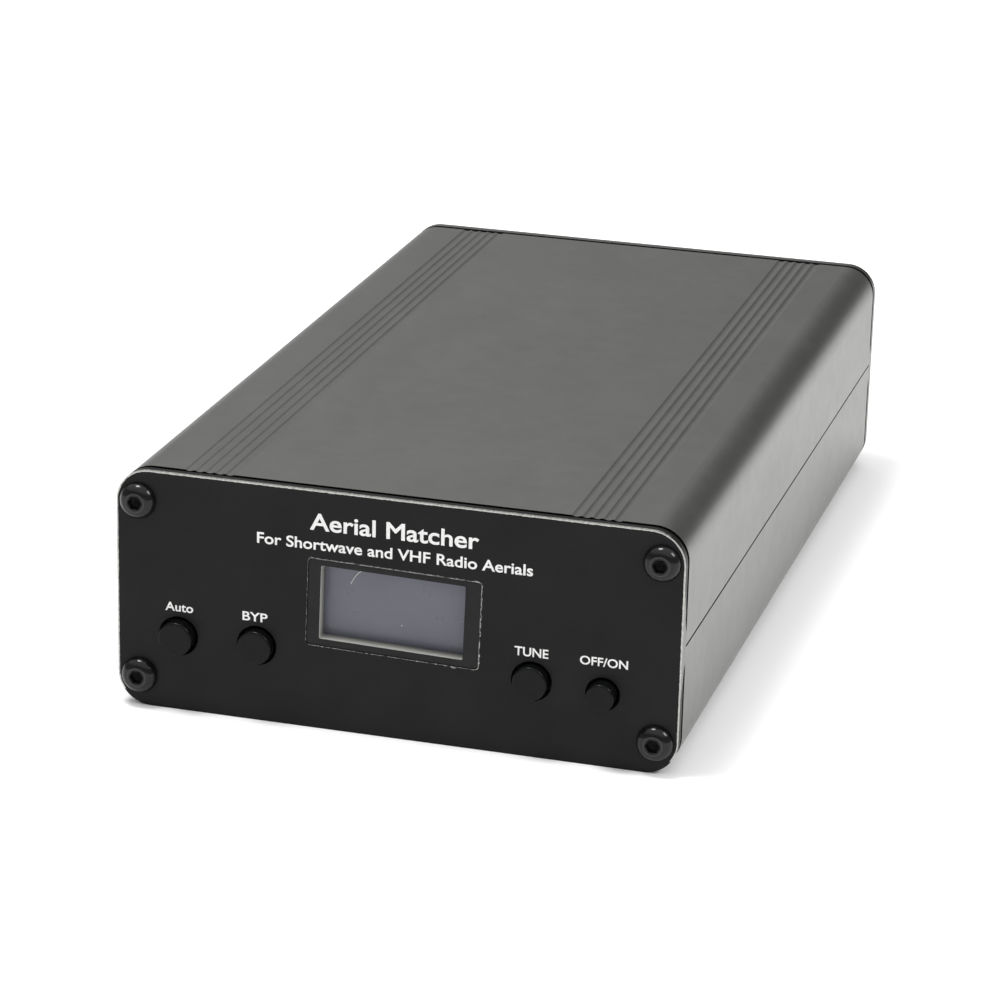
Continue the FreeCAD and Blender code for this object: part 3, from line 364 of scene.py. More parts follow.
def inside_outline(paint):
    """How far a point of a panel is inside its rounded outline, in metres."""
    across = paint.minus(paint.away_from("X", 0.0), HALF_WIDTH - PANEL_CORNER * MM)
    upward = paint.minus(paint.away_from("Z", MID_Z), MID_Z - PANEL_CORNER * MM)
    reach = paint.length(paint.math("MAXIMUM", across, 0.0), paint.math("MAXIMUM", upward, 0.0))
    return paint.minus(PANEL_CORNER * MM, reach)


def dull_edge(paint, edge_side, depth, ragged, front):
    """Where the panel's edge is dull grey: at mid-height on the front panel, and all round the rear one."""
    limit = paint.remap(paint.away_from("Z", BARE_MIDDLE_Z * MM), (DULL_WHOLE * MM, DULL_GONE * MM),
                        (BARE_MIDDLE * MM, BARE_SIDE * MM))
    reached = paint.below(depth, paint.math("ADD", limit, ragged))
    return paint.times(edge_side, paint.math("MAXIMUM", reached, paint.minus(1.0, front)))


def bright_edge(paint, inside, edge_side, depth, ragged, front):
    """Where the front panel's edge is bare and bright: a thin line round its face, but not along its foot."""
    on_top = paint.above(paint.away_from("Z", MID_Z), MID_Z - TOP_BAND * MM)
    limit = paint.math("MAXIMUM", paint.times(on_top, BARE_TOP * MM), BARE_SIDE * MM)
    side = paint.times(edge_side, paint.below(depth, paint.math("ADD", limit, ragged)))
    strip = paint.below(inside, paint.math("ADD", paint.times(ragged, 0.5), BARE_STRIP * MM))
    strip = paint.times(strip, paint.below(depth, FACE_DEPTH * MM))
    above_foot = paint.above(paint.place("Z"), BARE_LOW_Z * MM)
    return paint.times(paint.times(front, above_foot), paint.math("MAXIMUM", side, strip))


def panel_aluminium():
    """Black anodised plate with a bare cut edge: a thin bright line in front, and dull grey at the rear."""
    paint = Paint("panel_aluminium", (0.01, 0.01, 0.01), 0.4, specular=0.12)
    inside = inside_outline(paint)
    front = paint.below(paint.place("Y"), 0.0)
    depth = paint.minus(-FRONT_Y, paint.away_from("Y", 0.0))
    edge_side = paint.times(paint.below(inside, EDGE_WIDTH * MM), paint.below(paint.facing("Y"), BESIDE))
    ragged = paint.times(paint.minus(paint.noise(0.8, 3.0), 0.5), RAGGED * MM)
    dull = dull_edge(paint, edge_side, depth, ragged, front)
    bare = bright_edge(paint, inside, edge_side, depth, ragged, front)
    streaks = paint.noise(0.25, 3.0, (1, 14, 1))
    edge = paint.ramp(streaks, [(0.3, (0.30, 0.30, 0.285)), (0.7, (0.52, 0.52, 0.50))])
    cloud = paint.noise(11.0, 2.0)
    face = paint.ramp(cloud, [(0.3, (0.0075, 0.0078, 0.0078)), (0.7, (0.0105, 0.0108, 0.0107))])
    paint.colour(paint.blend(bare, paint.blend(dull, face, (0.19, 0.19, 0.18)), edge))
    paint.join(paint.math("MAXIMUM", bare, dull), paint.shader.inputs["Metallic"])
    brush = paint.noise(0.3, 2.0, (30, 1, 1))
    paint.roughness(paint.ramp(brush, [(0.2, 0.36), (0.8, 0.44)]))
    paint.bump((paint.noise(0.16, 2.0), 0.003), (brush, 0.0012))
    return paint.material


SCREW_X, SCREW_Z = 40.5, 14.1
SCREW_SOCKET_R = 1.2
# inner and outer radius of the painted highlight ring on the screw heads, in millimetres
SCREW_HIGHLIGHT_RING_R = (1.36, 1.54)
SOCKET_DULLNESS = 0.5


def black_steel():
    """Black oxide: glossy heads, a dull socket, and a faint lighter ring round it painted as highlight on the
    edge of the flat top.
    """
    paint = Paint("black_steel", (0.004, 0.004, 0.0045), 0.14, specular=0.3)
    across = paint.minus(paint.away_from("X", 0.0), SCREW_X * MM)
    upright = paint.minus(paint.away_from("Z", MID_Z), SCREW_Z * MM)
    radius = paint.length(across, upright)
    socket = paint.below(radius, SCREW_SOCKET_R * MM)
    # painted highlight: the ring at the edge of the flat top is made lighter where that edge catches light
    ring = paint.times(paint.above(radius, SCREW_HIGHLIGHT_RING_R[0] * MM), paint.below(radius, SCREW_HIGHLIGHT_RING_R[1] * MM))
    shade = paint.ramp(paint.noise(1.2, 3.0),
                       [(0.3, (0.0032, 0.0032, 0.0036)), (0.7, (0.0055, 0.0055, 0.006))])
    paint.colour(paint.blend(ring, shade, (0.030, 0.030, 0.031)))
    gloss = paint.ramp(paint.noise(0.3, 3.0), [(0.3, 0.12), (0.7, 0.17)])
    paint.roughness(paint.math("ADD", gloss, paint.times(socket, SOCKET_DULLNESS)))
    paint.bump((paint.noise(0.25, 2.0), 0.001))
    return paint.material


def plain(name, colour, roughness, grain=0.3, depth=0.002, vary=0.12, **more):
    """A moulded or drawn surface: slight colour change, fine grain and uneven gloss."""
    paint = Paint(name, colour, roughness, **more)
    dark = tuple(c * (1 - vary) for c in colour)
    light = tuple(min(c * (1 + vary), 1.0) for c in colour)
    paint.colour(paint.ramp(paint.noise(2.5, 3.0), [(0.3, dark), (0.7, light)]))
    fine = paint.noise(grain, 2.0)
    paint.roughness(paint.ramp(fine, [(0.25, roughness * 0.9), (0.75, min(roughness * 1.12, 1.0))]))
    paint.bump((fine, depth))
    return paint.material


def bezel_laminate():
    """Two-ply sheet: a black face on a light grey core that shows at the cut walls of the opening, with
    painted shade darkening the walls towards the screen.
    """
    paint = Paint("bezel_laminate", (0.012, 0.012, 0.012), 0.38, specular=0.15)
    core = paint.below(paint.facing("Y"), BESIDE)
    low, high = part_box("display_bezel")
    # the walls' light grey at the front edge is the core's own colour; the darkening towards the screen is
    # painted shade deeper in the opening
    inward = paint.remap(paint.place("Y"), (low[1], high[1]), (0.0, 1.0))
    shaded_core = paint.ramp(inward, [(0.0, (0.46, 0.46, 0.43)), (0.45, (0.30, 0.30, 0.28)),
                               (1.0, (0.10, 0.10, 0.09))])
    face = paint.ramp(paint.noise(4.0, 2.0), [(0.3, (0.011, 0.011, 0.011)), (0.7, (0.015, 0.015, 0.015))])
    paint.colour(paint.blend(core, face, shaded_core))
    paint.bump((paint.noise(0.2, 2.0), 0.002))
    return paint.material


def screen_film():
    """Lavender-grey polariser with faint smears."""
    paint = Paint("screen_film", (0.12, 0.12, 0.15), 0.28, specular=0.4)
    smear = paint.noise(7.0, 2.0, (1.6, 1, 1))
    paint.colour(paint.ramp(smear, [(0.25, (0.112, 0.114, 0.144)), (0.75, (0.132, 0.134, 0.162))]))
    paint.roughness(paint.ramp(paint.noise(2.5, 2.0), [(0.3, 0.27), (0.7, 0.33)]))
    paint.bump((smear, 0.004))
    return paint.material


def make_materials():
    return {
        "case_aluminium": case_aluminium(),
        "panel_aluminium": panel_aluminium(),
        "black_steel": black_steel(),
        "button_plastic": plain("button_plastic", (0.004, 0.0042, 0.0045), 0.2, 0.2, 0.0003, specular=0.13),
        "bezel_laminate": bezel_laminate(),
        "screen_film": screen_film(),
        "screen_glass": plain("screen_glass", (0.02, 0.02, 0.025), 0.08, 1.0, 0.0005),
        "circuit_board": plain("circuit_board", (0.010, 0.12, 0.045), 0.35, 0.5, 0.004),
        "display_board": plain("display_board", (0.010, 0.03, 0.16), 0.35, 0.5, 0.004),
        "component_plastic": plain("component_plastic", (0.018, 0.018, 0.019), 0.5, 0.15, 0.004),
        "relay_case": plain("relay_case", (0.02, 0.10, 0.30), 0.4, 0.25, 0.003),
        "tinned_steel": plain("tinned_steel", (0.62, 0.62, 0.60), 0.3, 0.3, 0.002, metallic=1.0),
        "iron_powder_core": plain("iron_powder_core", (0.42, 0.030, 0.022), 0.45, 0.3, 0.01),
        "ferrite_core": plain("ferrite_core", (0.06, 0.06, 0.064), 0.6, 0.3, 0.01),
        "enamelled_copper": plain("enamelled_copper", (0.60, 0.20, 0.06), 0.25, 0.4, 0.001,
                                  metallic=0.9, coat=0.6),
        "capacitor_ceramic": plain("capacitor_ceramic", (0.62, 0.27, 0.03), 0.3, 0.6, 0.01),
        "capacitor_sleeve": plain("capacitor_sleeve", (0.012, 0.012, 0.02), 0.3, 0.8, 0.003),
        "nickel_plate": plain("nickel_plate", (0.62, 0.60, 0.56), 0.24, 0.3, 0.002, 0.06, metallic=1.0),
        "white_insulator": plain("white_insulator", (0.80, 0.79, 0.75), 0.42, 0.3, 0.003, 0.04),
        "gold_contact": plain("gold_contact", (0.80, 0.55, 0.16), 0.25, 0.3, 0.001, 0.06, metallic=1.0),
        "red_wire": plain("red_wire", (0.50, 0.015, 0.012), 0.4, 0.5, 0.002),
        "copper_line": plain("copper_line", (0.72, 0.36, 0.20), 0.3, 0.3, 0.002, metallic=1.0),
    }


def dress_nodes(materials):
    """Every carried-over CAD node takes the material of its slot in the record."""
    for part in frame["record"]["subparts"]:
        node = frame["nodes"][part["node"]]
        node.data.materials.clear()
        node.data.materials.append(materials[part["material_slot"]])


# ======== pieces ========

def add_piece(name, mesh, material, body=CASE):
    piece = bpy.data.objects.new(name, mesh)
    bpy.context.collection.objects.link(piece)
    mesh.materials.append(material)
    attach(piece, body)
    return piece


def mesh_of(curve, name):
    """The mesh that a curve or text makes, in the curve's own units."""
    carrier = bpy.data.objects.new(name + "_source", curve)
    bpy.context.collection.objects.link(carrier)
    bpy.context.view_layer.update()
    mesh = bpy.data.meshes.new_from_object(carrier.evaluated_get(bpy.context.evaluated_depsgraph_get()))
    bpy.data.objects.remove(carrier)
    return mesh


def mesh_from_bm(bm, name):
    bmesh.ops.recalc_face_normals(bm, faces=bm.faces)
    mesh = bpy.data.meshes.new(name)
    bm.to_mesh(mesh)
    bm.free()
    return mesh


def shade_smooth(mesh, degrees=35):
    """Smooth shading, with edges sharper than the angle kept sharp."""
    for polygon in mesh.polygons:
        polygon.use_smooth = True
    mesh.set_sharp_from_angle(angle=math.radians(degrees))


# -------- printed words --------

INK_PROUD = 0.02 * MM
INK_SINK = 0.01 * MM
STROKE_SPREAD = 0.019
# a point nearer than this share of the spread to the stroke's middle plane lies on it
MIDDLE_SHARE = 0.01

# name, words, x span and z span in millimetres
PRINTS = [("heading_print", "Aerial Matcher", (-13.3, 12.9), (31.7, 34.4)),
          ("subtitle_print", "For Shortwave and VHF Radio Aerials", (-21.6, 21.2), (28.6, 30.4)),
          ("auto_print", "Auto", (-36.3, -31.8), (15.95, 17.4)),
          ("bypass_print", "BYP", (-23.9, -19.9), (15.95, 17.4)),
          ("tune_print", "TUNE", (18.7, 23.9), (15.95, 17.4)),
          ("power_print", "OFF/ON", (28.7, 36.0), (15.85, 17.25))]


def add_print(name, words, x_span, z_span, material):
    """Printed words on the front panel: a thin layer of ink that fills the given spans."""
    curve = bpy.data.curves.new(name, "FONT")
    curve.body = words
    curve.size = 1.0
    curve.bevel_depth = STROKE_SPREAD
    curve.bevel_resolution = 0
    curve.resolution_u = 6
    mesh = mesh_of(curve, name)
    xs = [v.co.x for v in mesh.vertices]
    ys = [v.co.y for v in mesh.vertices]
    low_x, low_y = min(xs), min(ys)
    scale_x = (x_span[1] - x_span[0]) / (max(xs) - low_x)
    scale_z = (z_span[1] - z_span[0]) / (max(ys) - low_y)
    for v in mesh.vertices:
        x = x_span[0] + (v.co.x - low_x) * scale_x
        z = z_span[0] + (v.co.y - low_y) * scale_z
        share = v.co.z / STROKE_SPREAD
        y = FRONT_Y - INK_PROUD * share if share > 0 else FRONT_Y - INK_SINK * share
        if abs(share) < MIDDLE_SHARE:
            y = FRONT_Y - INK_PROUD / 2
        v.co = (x * MM, y, z * MM)
    add_piece(name, mesh, material)


def add_prints():
    ink = plain("white_ink", (0.80, 0.80, 0.79), 0.5, 0.15, 0.002, 0.05)
    for row in PRINTS:
        add_print(*row, ink)


# -------- the window's cut edge --------

WINDOW_X, WINDOW_Z = -0.2, 20.0
WINDOW_WIDTH, WINDOW_HEIGHT = 27.0, 13.9
WINDOW_CORNER = 0.6
WINDOW_TURN = math.radians(-1.35)
EDGE_STEP = 0.12
# how wide the bared rim is on each side of the window, and how high its burr stands
RIM_WIDTH = {"top": 0.10, "right": 0.14, "bottom": 0.06, "left": 0.02}
BURR_HEIGHT = 0.02
# one larger burr on the bottom edge, towards the right: its place, its reach, and what it adds to the rim
BURR_PLACE = (9.4, 12.9)
BURR_REACH = 0.7
BURR_WIDER, BURR_HIGHER = 0.25, 0.10
CORNER_STEPS = 8
WAVE_COUNT = 14


def window_outline():
    """Points round the window with their outward normals, in millimetres."""
    half_w = WINDOW_WIDTH / 2 - WINDOW_CORNER
    half_h = WINDOW_HEIGHT / 2 - WINDOW_CORNER
    outline = []
    corners = [(half_w, half_h, 0), (-half_w, half_h, 90), (-half_w, -half_h, 180), (half_w, -half_h, 270)]
    for k, (cx, cz, first) in enumerate(corners):
        for step in range(CORNER_STEPS + 1):
            angle = math.radians(first + step * 90 / CORNER_STEPS)
            outline.append((cx, cz, math.cos(angle), math.sin(angle)))
        next_x, next_z, _ = corners[(k + 1) % 4]
        run = math.hypot(next_x - cx, next_z - cz)
        count = int(run / EDGE_STEP)
        normal = outline[-1][2:]
        for step in range(1, count):
            share = step / count
            outline.append((cx + (next_x - cx) * share, cz + (next_z - cz) * share, *normal))
    points = []
    for cx, cz, nx, nz in outline:
        x, z = cx + nx * WINDOW_CORNER, cz + nz * WINDOW_CORNER
        c, s = math.cos(WINDOW_TURN), math.sin(WINDOW_TURN)
        points.append((WINDOW_X + x * c - z * s, WINDOW_Z + x * s + z * c, nx * c - nz * s, nx * s + nz * c))
    return points


def rim_width(nx, nz):
    """The rim's width where the window's edge faces this way, blended between the sides at a corner."""
    along = {"right": max(nx, 0), "left": max(-nx, 0), "top": max(nz, 0), "bottom": max(-nz, 0)}
    whole = sum(v ** 2 for v in along.values())
    return sum(RIM_WIDTH[side] * v ** 2 for side, v in along.items()) / whole


def add_window_rim():
    """The ragged line of bare metal where the window was cut out of the black plate."""
    draw = random.Random(41)
    waves = [(draw.randint(6, 90), draw.uniform(0, 2 * math.pi), draw.uniform(0.5, 1.0))
             for _ in range(WAVE_COUNT)]
    points = window_outline()
    bm = bmesh.new()
    rings = []
    for k, (x, z, nx, nz) in enumerate(points):
        turn = 2 * math.pi * k / len(points)
        slow = sum(size * math.sin(count * turn + phase) for count, phase, size in waves) / 5
        rough = max(0.15, 1 + 0.9 * slow + draw.uniform(-0.5, 0.5))
        width = rim_width(nx, nz) * rough
        height = BURR_HEIGHT * max(0.1, 0.6 + 0.8 * slow + draw.uniform(-0.4, 0.4))
        gap = math.hypot(x - BURR_PLACE[0], z - BURR_PLACE[1])
        if gap < BURR_REACH:
            lift = math.cos(gap / BURR_REACH * math.pi / 2)
            width += BURR_WIDER * lift
            height += BURR_HIGHER * lift
        section = [(width, 0.004), (width * 0.45, height), (-0.02, height * 0.4), (0.03, -0.08)]
        rings.append([bm.verts.new(((x + nx * out) * MM, FRONT_Y - proud * MM, (z + nz * out) * MM))
                      for out, proud in section])
    for ring, following in zip(rings, rings[1:] + rings[:1]):
        for k in range(4):
            bm.faces.new((ring[k], ring[(k + 1) % 4], following[(k + 1) % 4], following[k]))
    paint = Paint("bare_rim", (0.3, 0.3, 0.29), 0.45, metallic=0.8)
    paint.colour(paint.ramp(paint.noise(0.5, 3.0), [(0.38, (0.03, 0.03, 0.03)), (0.62, (0.42, 0.42, 0.40))]))
    paint.bump((paint.noise(0.15, 2.0), 0.004))
    add_piece("window_rim", mesh_from_bm(bm, "window_rim"), paint.material)


# -------- lint on the screen --------

HAIR_POINTS = [(-5.75, 25.35), (-6.25, 25.0), (-6.75, 24.45), (-7.2, 23.75), (-7.6, 22.95)]
HAIR_R = 0.05
SPECK_PLACE = (0.5, 17.3)
SPECK_R = 0.10


def add_lint():
    """A short curved hair and a speck of dust that lie on the screen film."""
    film_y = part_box("oled_film")[0][1]
    curve = bpy.data.curves.new("hair", "CURVE")
    curve.dimensions = "3D"
    curve.bevel_depth = HAIR_R * MM
    curve.bevel_resolution = 2
    curve.use_fill_caps = True
    spline = curve.splines.new("NURBS")
    spline.points.add(len(HAIR_POINTS) - 1)
    for point, (x, z) in zip(spline.points, HAIR_POINTS):
        point.co = (x * MM, film_y - HAIR_R * MM, z * MM, 1)
    spline.order_u = 4
    spline.use_endpoint_u = True
    lint = plain("lint", (0.75, 0.75, 0.74), 0.7, 0.1, 0.001, 0.1)
    add_piece("screen_hair", mesh_of(curve, "hair"), lint)
    bm = bmesh.new()
    bmesh.ops.create_icosphere(bm, subdivisions=2, radius=SPECK_R * MM)
    draw = random.Random(5)
    for v in bm.verts:
        v.co *= draw.uniform(0.7, 1.1)
        v.co.y *= 0.5
        v.co += Vector((SPECK_PLACE[0] * MM, film_y - SPECK_R * 0.4 * MM, SPECK_PLACE[1] * MM))
    add_piece("screen_speck", mesh_from_bm(bm, "speck"), lint)


# -------- rear sockets --------

SOCKETS = {"input": -24.0, "antenna": 24.0}
FLANGE = 25.4
FLANGE_CORNER = 1.6
FLANGE_HOLE = 9.12
FLANGE_HOLE_R = 1.6
FLANGE_BEVEL = 0.2
FLANGE_BACK, FLANGE_FACE = 76.0, 77.6
BARREL_R = 7.9375
BORE_R = 6.2
SKIRT_R = 7.2
SKIRT_END = 70.0
MOUTH = 89.2
NOTCH_FLOOR = 88.3
NOTCH_HALF = 0.7
NOTCH_ANGLES = (45, 135, 225, 315)
# how far from a notch's wall, in degrees, its neighbour column stands, and other columns keep clear
NOTCH_NEAR, NOTCH_CLEAR = 0.15, 1.0
THREAD_PITCH = 1.0583
THREAD_DEPTH = 0.60
# a crest and a root are flat for this share of half a pitch, and the thread starts this far from the flange
THREAD_FLAT = 0.15
THREAD_START, THREAD_FADE = 0.6, 0.8
ROWS_PER_PITCH = 8
COLUMNS = 96
SKIRT_COLUMNS = 72
# the barrel's mouth: where its outer chamfer starts, the radii at its start and end, and the bore's chamfer
CHAMFER_START, CHAMFER_R, MOUTH_R = 88.8, 7.75, 7.3
BORE_CHAMFER = 0.2


def circle_spline(curve, x, y, radius, count=48):
    spline = curve.splines.new("POLY")
    spline.points.add(count - 1)
    for k, point in enumerate(spline.points):
        angle = 2 * math.pi * k / count
        point.co = (x + radius * math.cos(angle), y + radius * math.sin(angle), 0, 1)
    spline.use_cyclic_u = True


def flange_mesh(centre_x):
    """The socket's square flange, with its four holes and softened edges."""
    curve = bpy.data.curves.new("flange", "CURVE")
    curve.dimensions = "2D"
    curve.fill_mode = "BOTH"
    curve.extrude = (FLANGE_FACE - FLANGE_BACK) / 2 - FLANGE_BEVEL
    curve.bevel_depth = FLANGE_BEVEL
    curve.offset = -FLANGE_BEVEL
    outline = curve.splines.new("POLY")
    corner_steps = 6
    half = FLANGE / 2 - FLANGE_CORNER
    outline.points.add(4 * (corner_steps + 1) - 1)
    k = 0
    for quarter, (sx, sy) in enumerate([(1, 1), (-1, 1), (-1, -1), (1, -1)]):
        for step in range(corner_steps + 1):
            angle = math.radians(90 * quarter + 90 * step / corner_steps)
            outline.points[k].co = (sx * half + FLANGE_CORNER * math.cos(angle),
                                    sy * half + FLANGE_CORNER * math.sin(angle), 0, 1)
            k += 1
    outline.use_cyclic_u = True
    for sx in (-1, 1):
        for sy in (-1, 1):
            circle_spline(curve, sx * FLANGE_HOLE, sy * FLANGE_HOLE, FLANGE_HOLE_R, 32)
    circle_spline(curve, 0, 0, BORE_R, COLUMNS)
    mesh = mesh_of(curve, "flange")
    middle_y = (FLANGE_BACK + FLANGE_FACE) / 2
    for v in mesh.vertices:
        v.co = ((centre_x + v.co.x) * MM, (middle_y - v.co.z) * MM, MID_Z + v.co.y * MM)
    return mesh


def barrel_columns():
    """Angles round the barrel, with a close pair at each wall of the four notches."""
    half = math.degrees(math.asin(NOTCH_HALF / BARREL_R))
    angles = []
    for k in range(COLUMNS):
        angle = 360 * k / COLUMNS
        gaps = [abs((angle - middle + 180) % 360 - 180) for middle in NOTCH_ANGLES]
        if min(gaps) > half + NOTCH_CLEAR:
            angles.append((angle, False))
    for middle in NOTCH_ANGLES:
        angles += [(middle - half - NOTCH_NEAR, False), (middle - half, True), (middle, True),
                   (middle + half, True), (middle + half + NOTCH_NEAR, False)]
    return sorted(angles)


def thread_radius(angle, y):
    """The radius of a thread with flat crests and roots, faded in from the flange."""
    turns = (y - FLANGE_FACE) / THREAD_PITCH - angle / 360
    wave = abs((turns % 1.0) * 2 - 1)
    cut = min(max((wave - THREAD_FLAT) / (1 - 2 * THREAD_FLAT), 0), 1)
    start_fade = min(max((y - FLANGE_FACE - THREAD_START) / THREAD_FADE, 0), 1)
    return BARREL_R - THREAD_DEPTH * cut * start_fade


def add_ring_rows(bm, columns, rows):
    """A closed skin through rows of (y, radius of angle) loops, each row joined to the next."""
    loops = []
    for place in rows:
        loop = []
        for angle, notched in columns:
            y, radius = place(angle, notched)
            turn = math.radians(angle)
            loop.append(bm.verts.new((radius * math.cos(turn) * MM, y * MM, radius * math.sin(turn) * MM)))
        loops.append(loop)
    for loop, following in zip(loops, loops[1:] + loops[:1]):
        for k in range(len(columns)):
            j = (k + 1) % len(columns)
            bm.faces.new((loop[k], loop[j], following[j], following[k]))


def barrel_mesh(centre_x):
    """The threaded barrel, with four notches in its mouth."""
    columns = barrel_columns()
    rows = [lambda a, n: (FLANGE_FACE - 0.1, BORE_R + 0.02)]
    count = int((NOTCH_FLOOR - FLANGE_FACE) / THREAD_PITCH * ROWS_PER_PITCH)
    for k in range(count + 1):
        y = FLANGE_FACE - 0.1 + (NOTCH_FLOOR + 0.1 - FLANGE_FACE) * k / count
        rows.append(lambda a, n, y=y: (y, thread_radius(a, y)))
    rows.append(lambda a, n: (NOTCH_FLOOR + 0.03 if n else CHAMFER_START,
                              min(thread_radius(a, CHAMFER_START), CHAMFER_R)))
    rows.append(lambda a, n: (NOTCH_FLOOR + 0.05 if n else MOUTH, MOUTH_R))
    rows.append(lambda a, n: (NOTCH_FLOOR + 0.05 if n else MOUTH, BORE_R + BORE_CHAMFER))
    rows.append(lambda a, n: (NOTCH_FLOOR if n else MOUTH - BORE_CHAMFER, BORE_R))
    bm = bmesh.new()
    add_ring_rows(bm, columns, rows)
    for v in bm.verts:
        v.co += Vector((centre_x * MM, 0, MID_Z))
    return mesh_from_bm(bm, "barrel")


def skirt_mesh(centre_x):
    """The plain skirt behind the flange, inside the case."""
    columns = [(360 * k / SKIRT_COLUMNS, False) for k in range(SKIRT_COLUMNS)]
    profile = [(FLANGE_BACK + 0.1, BORE_R), (FLANGE_BACK + 0.1, SKIRT_R), (SKIRT_END + 0.2, SKIRT_R),
               (SKIRT_END, SKIRT_R - 0.2), (SKIRT_END, BORE_R + 0.1), (SKIRT_END + 0.1, BORE_R)]
    rows = [lambda a, n, y=y, r=r: (y, r) for y, r in profile]
    bm = bmesh.new()
    add_ring_rows(bm, columns, rows)
    for v in bm.verts:
        v.co += Vector((centre_x * MM, 0, MID_Z))
    return mesh_from_bm(bm, "skirt")


def joined(name, meshes):
    """One mesh made of several closed shells."""
    bm = bmesh.new()
    for mesh in meshes:
        bm.from_mesh(mesh)
    whole = bpy.data.meshes.new(name)
    bm.to_mesh(whole)
    bm.free()
    return whole


def add_sockets(materials):
    for name, x in SOCKETS.items():
        mesh = joined(name + "_socket", [flange_mesh(x), barrel_mesh(x), skirt_mesh(x)])
        shade_smooth(mesh, 30)
        piece = add_piece(name + "_socket_thread", mesh, materials["nickel_plate"])
        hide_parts(name + "_socket_shell")


# -------- wire that is wound --------

def wire_mesh(name, paths, radius):
    """Round wire along each path of points, in millimetres."""
    curve = bpy.data.curves.new(name, "CURVE")
    curve.dimensions = "3D"
    curve.bevel_depth = radius * MM
    curve.bevel_resolution = 2
    curve.use_fill_caps = True
    for path in paths:
        spline = curve.splines.new("POLY")
        spline.points.add(len(path) - 1)
        for point, (x, y, z) in zip(spline.points, path):
            point.co = (x * MM, y * MM, z * MM, 1)
    mesh = mesh_of(curve, name)
    shade_smooth(mesh, 60)
    return mesh


def bend(start, corner, end, steps=6):
    """Points of a smooth turn from start to end, drawn towards the corner."""
    points = []
    for k in range(steps + 1):
        t = k / steps
        points.append(tuple((1 - t) ** 2 * a + 2 * t * (1 - t) * b + t * t * c
                            for a, b, c in zip(start, corner, end)))
    return points


BOARD_TOP = 7.5
LEAD_LOW = 4.4
AIR_COILS = {-24.0: 12.0, -4.0: 9.0, 14.0: 6.0}
AIR_COIL_Y = 2.0
AIR_COIL_WIRE_R = 0.47
AIR_COIL_MEAN_R = 3.5
AIR_COIL_Z = BOARD_TOP + 5.2
COIL_BEND = 0.8
COIL_STEPS = 28


def air_coil_path(middle_x, length):
    """Close turns along X, with both ends turned down to the board under the coil."""
    turns = round(length - 1)
    start_x = middle_x - (length - 1) / 2
    early = math.asin(COIL_BEND / AIR_COIL_MEAN_R)
    steps = COIL_STEPS * turns
    path = []
    for k in range(steps + 1):
        angle = early + (2 * math.pi * turns - 2 * early) * k / steps
        x = start_x + (length - 1) * k / steps
        path.append((x, AIR_COIL_Y + AIR_COIL_MEAN_R * math.sin(angle),
                     AIR_COIL_Z - AIR_COIL_MEAN_R * math.cos(angle)))
    bottom = AIR_COIL_Z - AIR_COIL_MEAN_R
    first, last = path[0], path[-1]
    lead_in = bend((first[0], AIR_COIL_Y, bottom - COIL_BEND), (first[0], AIR_COIL_Y, bottom), first)
    lead_out = bend(last, (last[0], AIR_COIL_Y, bottom), (last[0], AIR_COIL_Y, bottom - COIL_BEND))
    return ([(first[0], AIR_COIL_Y, LEAD_LOW)] + lead_in[:-1] + path + lead_out[1:]
            + [(last[0], AIR_COIL_Y, LEAD_LOW)])


# points on each rounded corner of a ring's section
CORNER_POINTS = 5


def ring_section(half_across, inner_r, outer_r, corner, tail_r):
    """One turn's loop round a ring's section, as (across, radius), from the tail's place inwards."""
    loop = [(-half_across, tail_r)]
    corners = [(-1, inner_r, 180), (1, inner_r, 270), (1, outer_r, 0), (-1, outer_r, 90)]
    for side, radius, first in corners:
        middle_r = radius + corner if radius == inner_r else radius - corner
        for step in range(CORNER_POINTS):
            angle = math.radians(first + 90 * step / (CORNER_POINTS - 1))
            loop.append((side * (half_across - corner) + corner * math.cos(angle),
                         middle_r + corner * math.sin(angle)))
    return loop


def wound(loop, turns, last_points, first_angle, sweep):
    """Every point of a winding as (across, radius, angle from straight down)."""
    places = loop * turns + loop[:last_points]
    return [(across, radius, first_angle + sweep * k / (len(places) - 1))
            for k, (across, radius) in enumerate(places)]


# middle x, outer radius, inner radius, thickness, turns
TOROIDS = [(-19.2, 12.0, 7.1, 7.9, 33), (-9.6, 8.75, 4.7, 4.8, 21),
           (9.6, 8.75, 4.7, 4.8, 21), (19.2, 12.0, 7.1, 7.9, 33)]
TOROID_Y = 40.0
TOROID_WIRE_R = 0.43
TOROID_CLEAR = 0.47
TOROID_BEND = 0.95
TOROID_LIFT = 1.4
TOROID_TAIL = math.radians(37)
# how far inside the ring's rim the tails leave it
TOROID_TAIL_IN, COUPLER_TAIL_IN = 1.0, 0.5


def toroid_path(x, outer_r, inner_r, thick, turns):
    """Turns round a standing ring, with both ends down to the board."""
    centre_z = BOARD_TOP + outer_r + TOROID_LIFT
    tail_r = outer_r - TOROID_TAIL_IN
    loop = ring_section(thick / 2 + TOROID_CLEAR, inner_r - TOROID_CLEAR, outer_r + TOROID_CLEAR,
                        TOROID_BEND, tail_r)
    # the last turn ends on the far side, past the two inner corners
    places = wound(loop, turns, 1 + 2 * CORNER_POINTS, -TOROID_TAIL, -(2 * math.pi - 2 * TOROID_TAIL))
    path = [(x + across, TOROID_Y + radius * math.sin(angle), centre_z - radius * math.cos(angle))
            for across, radius, angle in places]
    end_across = thick / 2 + TOROID_CLEAR
    end_y = TOROID_Y + tail_r * math.sin(TOROID_TAIL)
    end_z = centre_z - tail_r * math.cos(TOROID_TAIL)
    path.append((x + end_across, end_y, end_z))
    return [(path[0][0], path[0][1], LEAD_LOW)] + path + [(x + end_across, end_y, LEAD_LOW)]


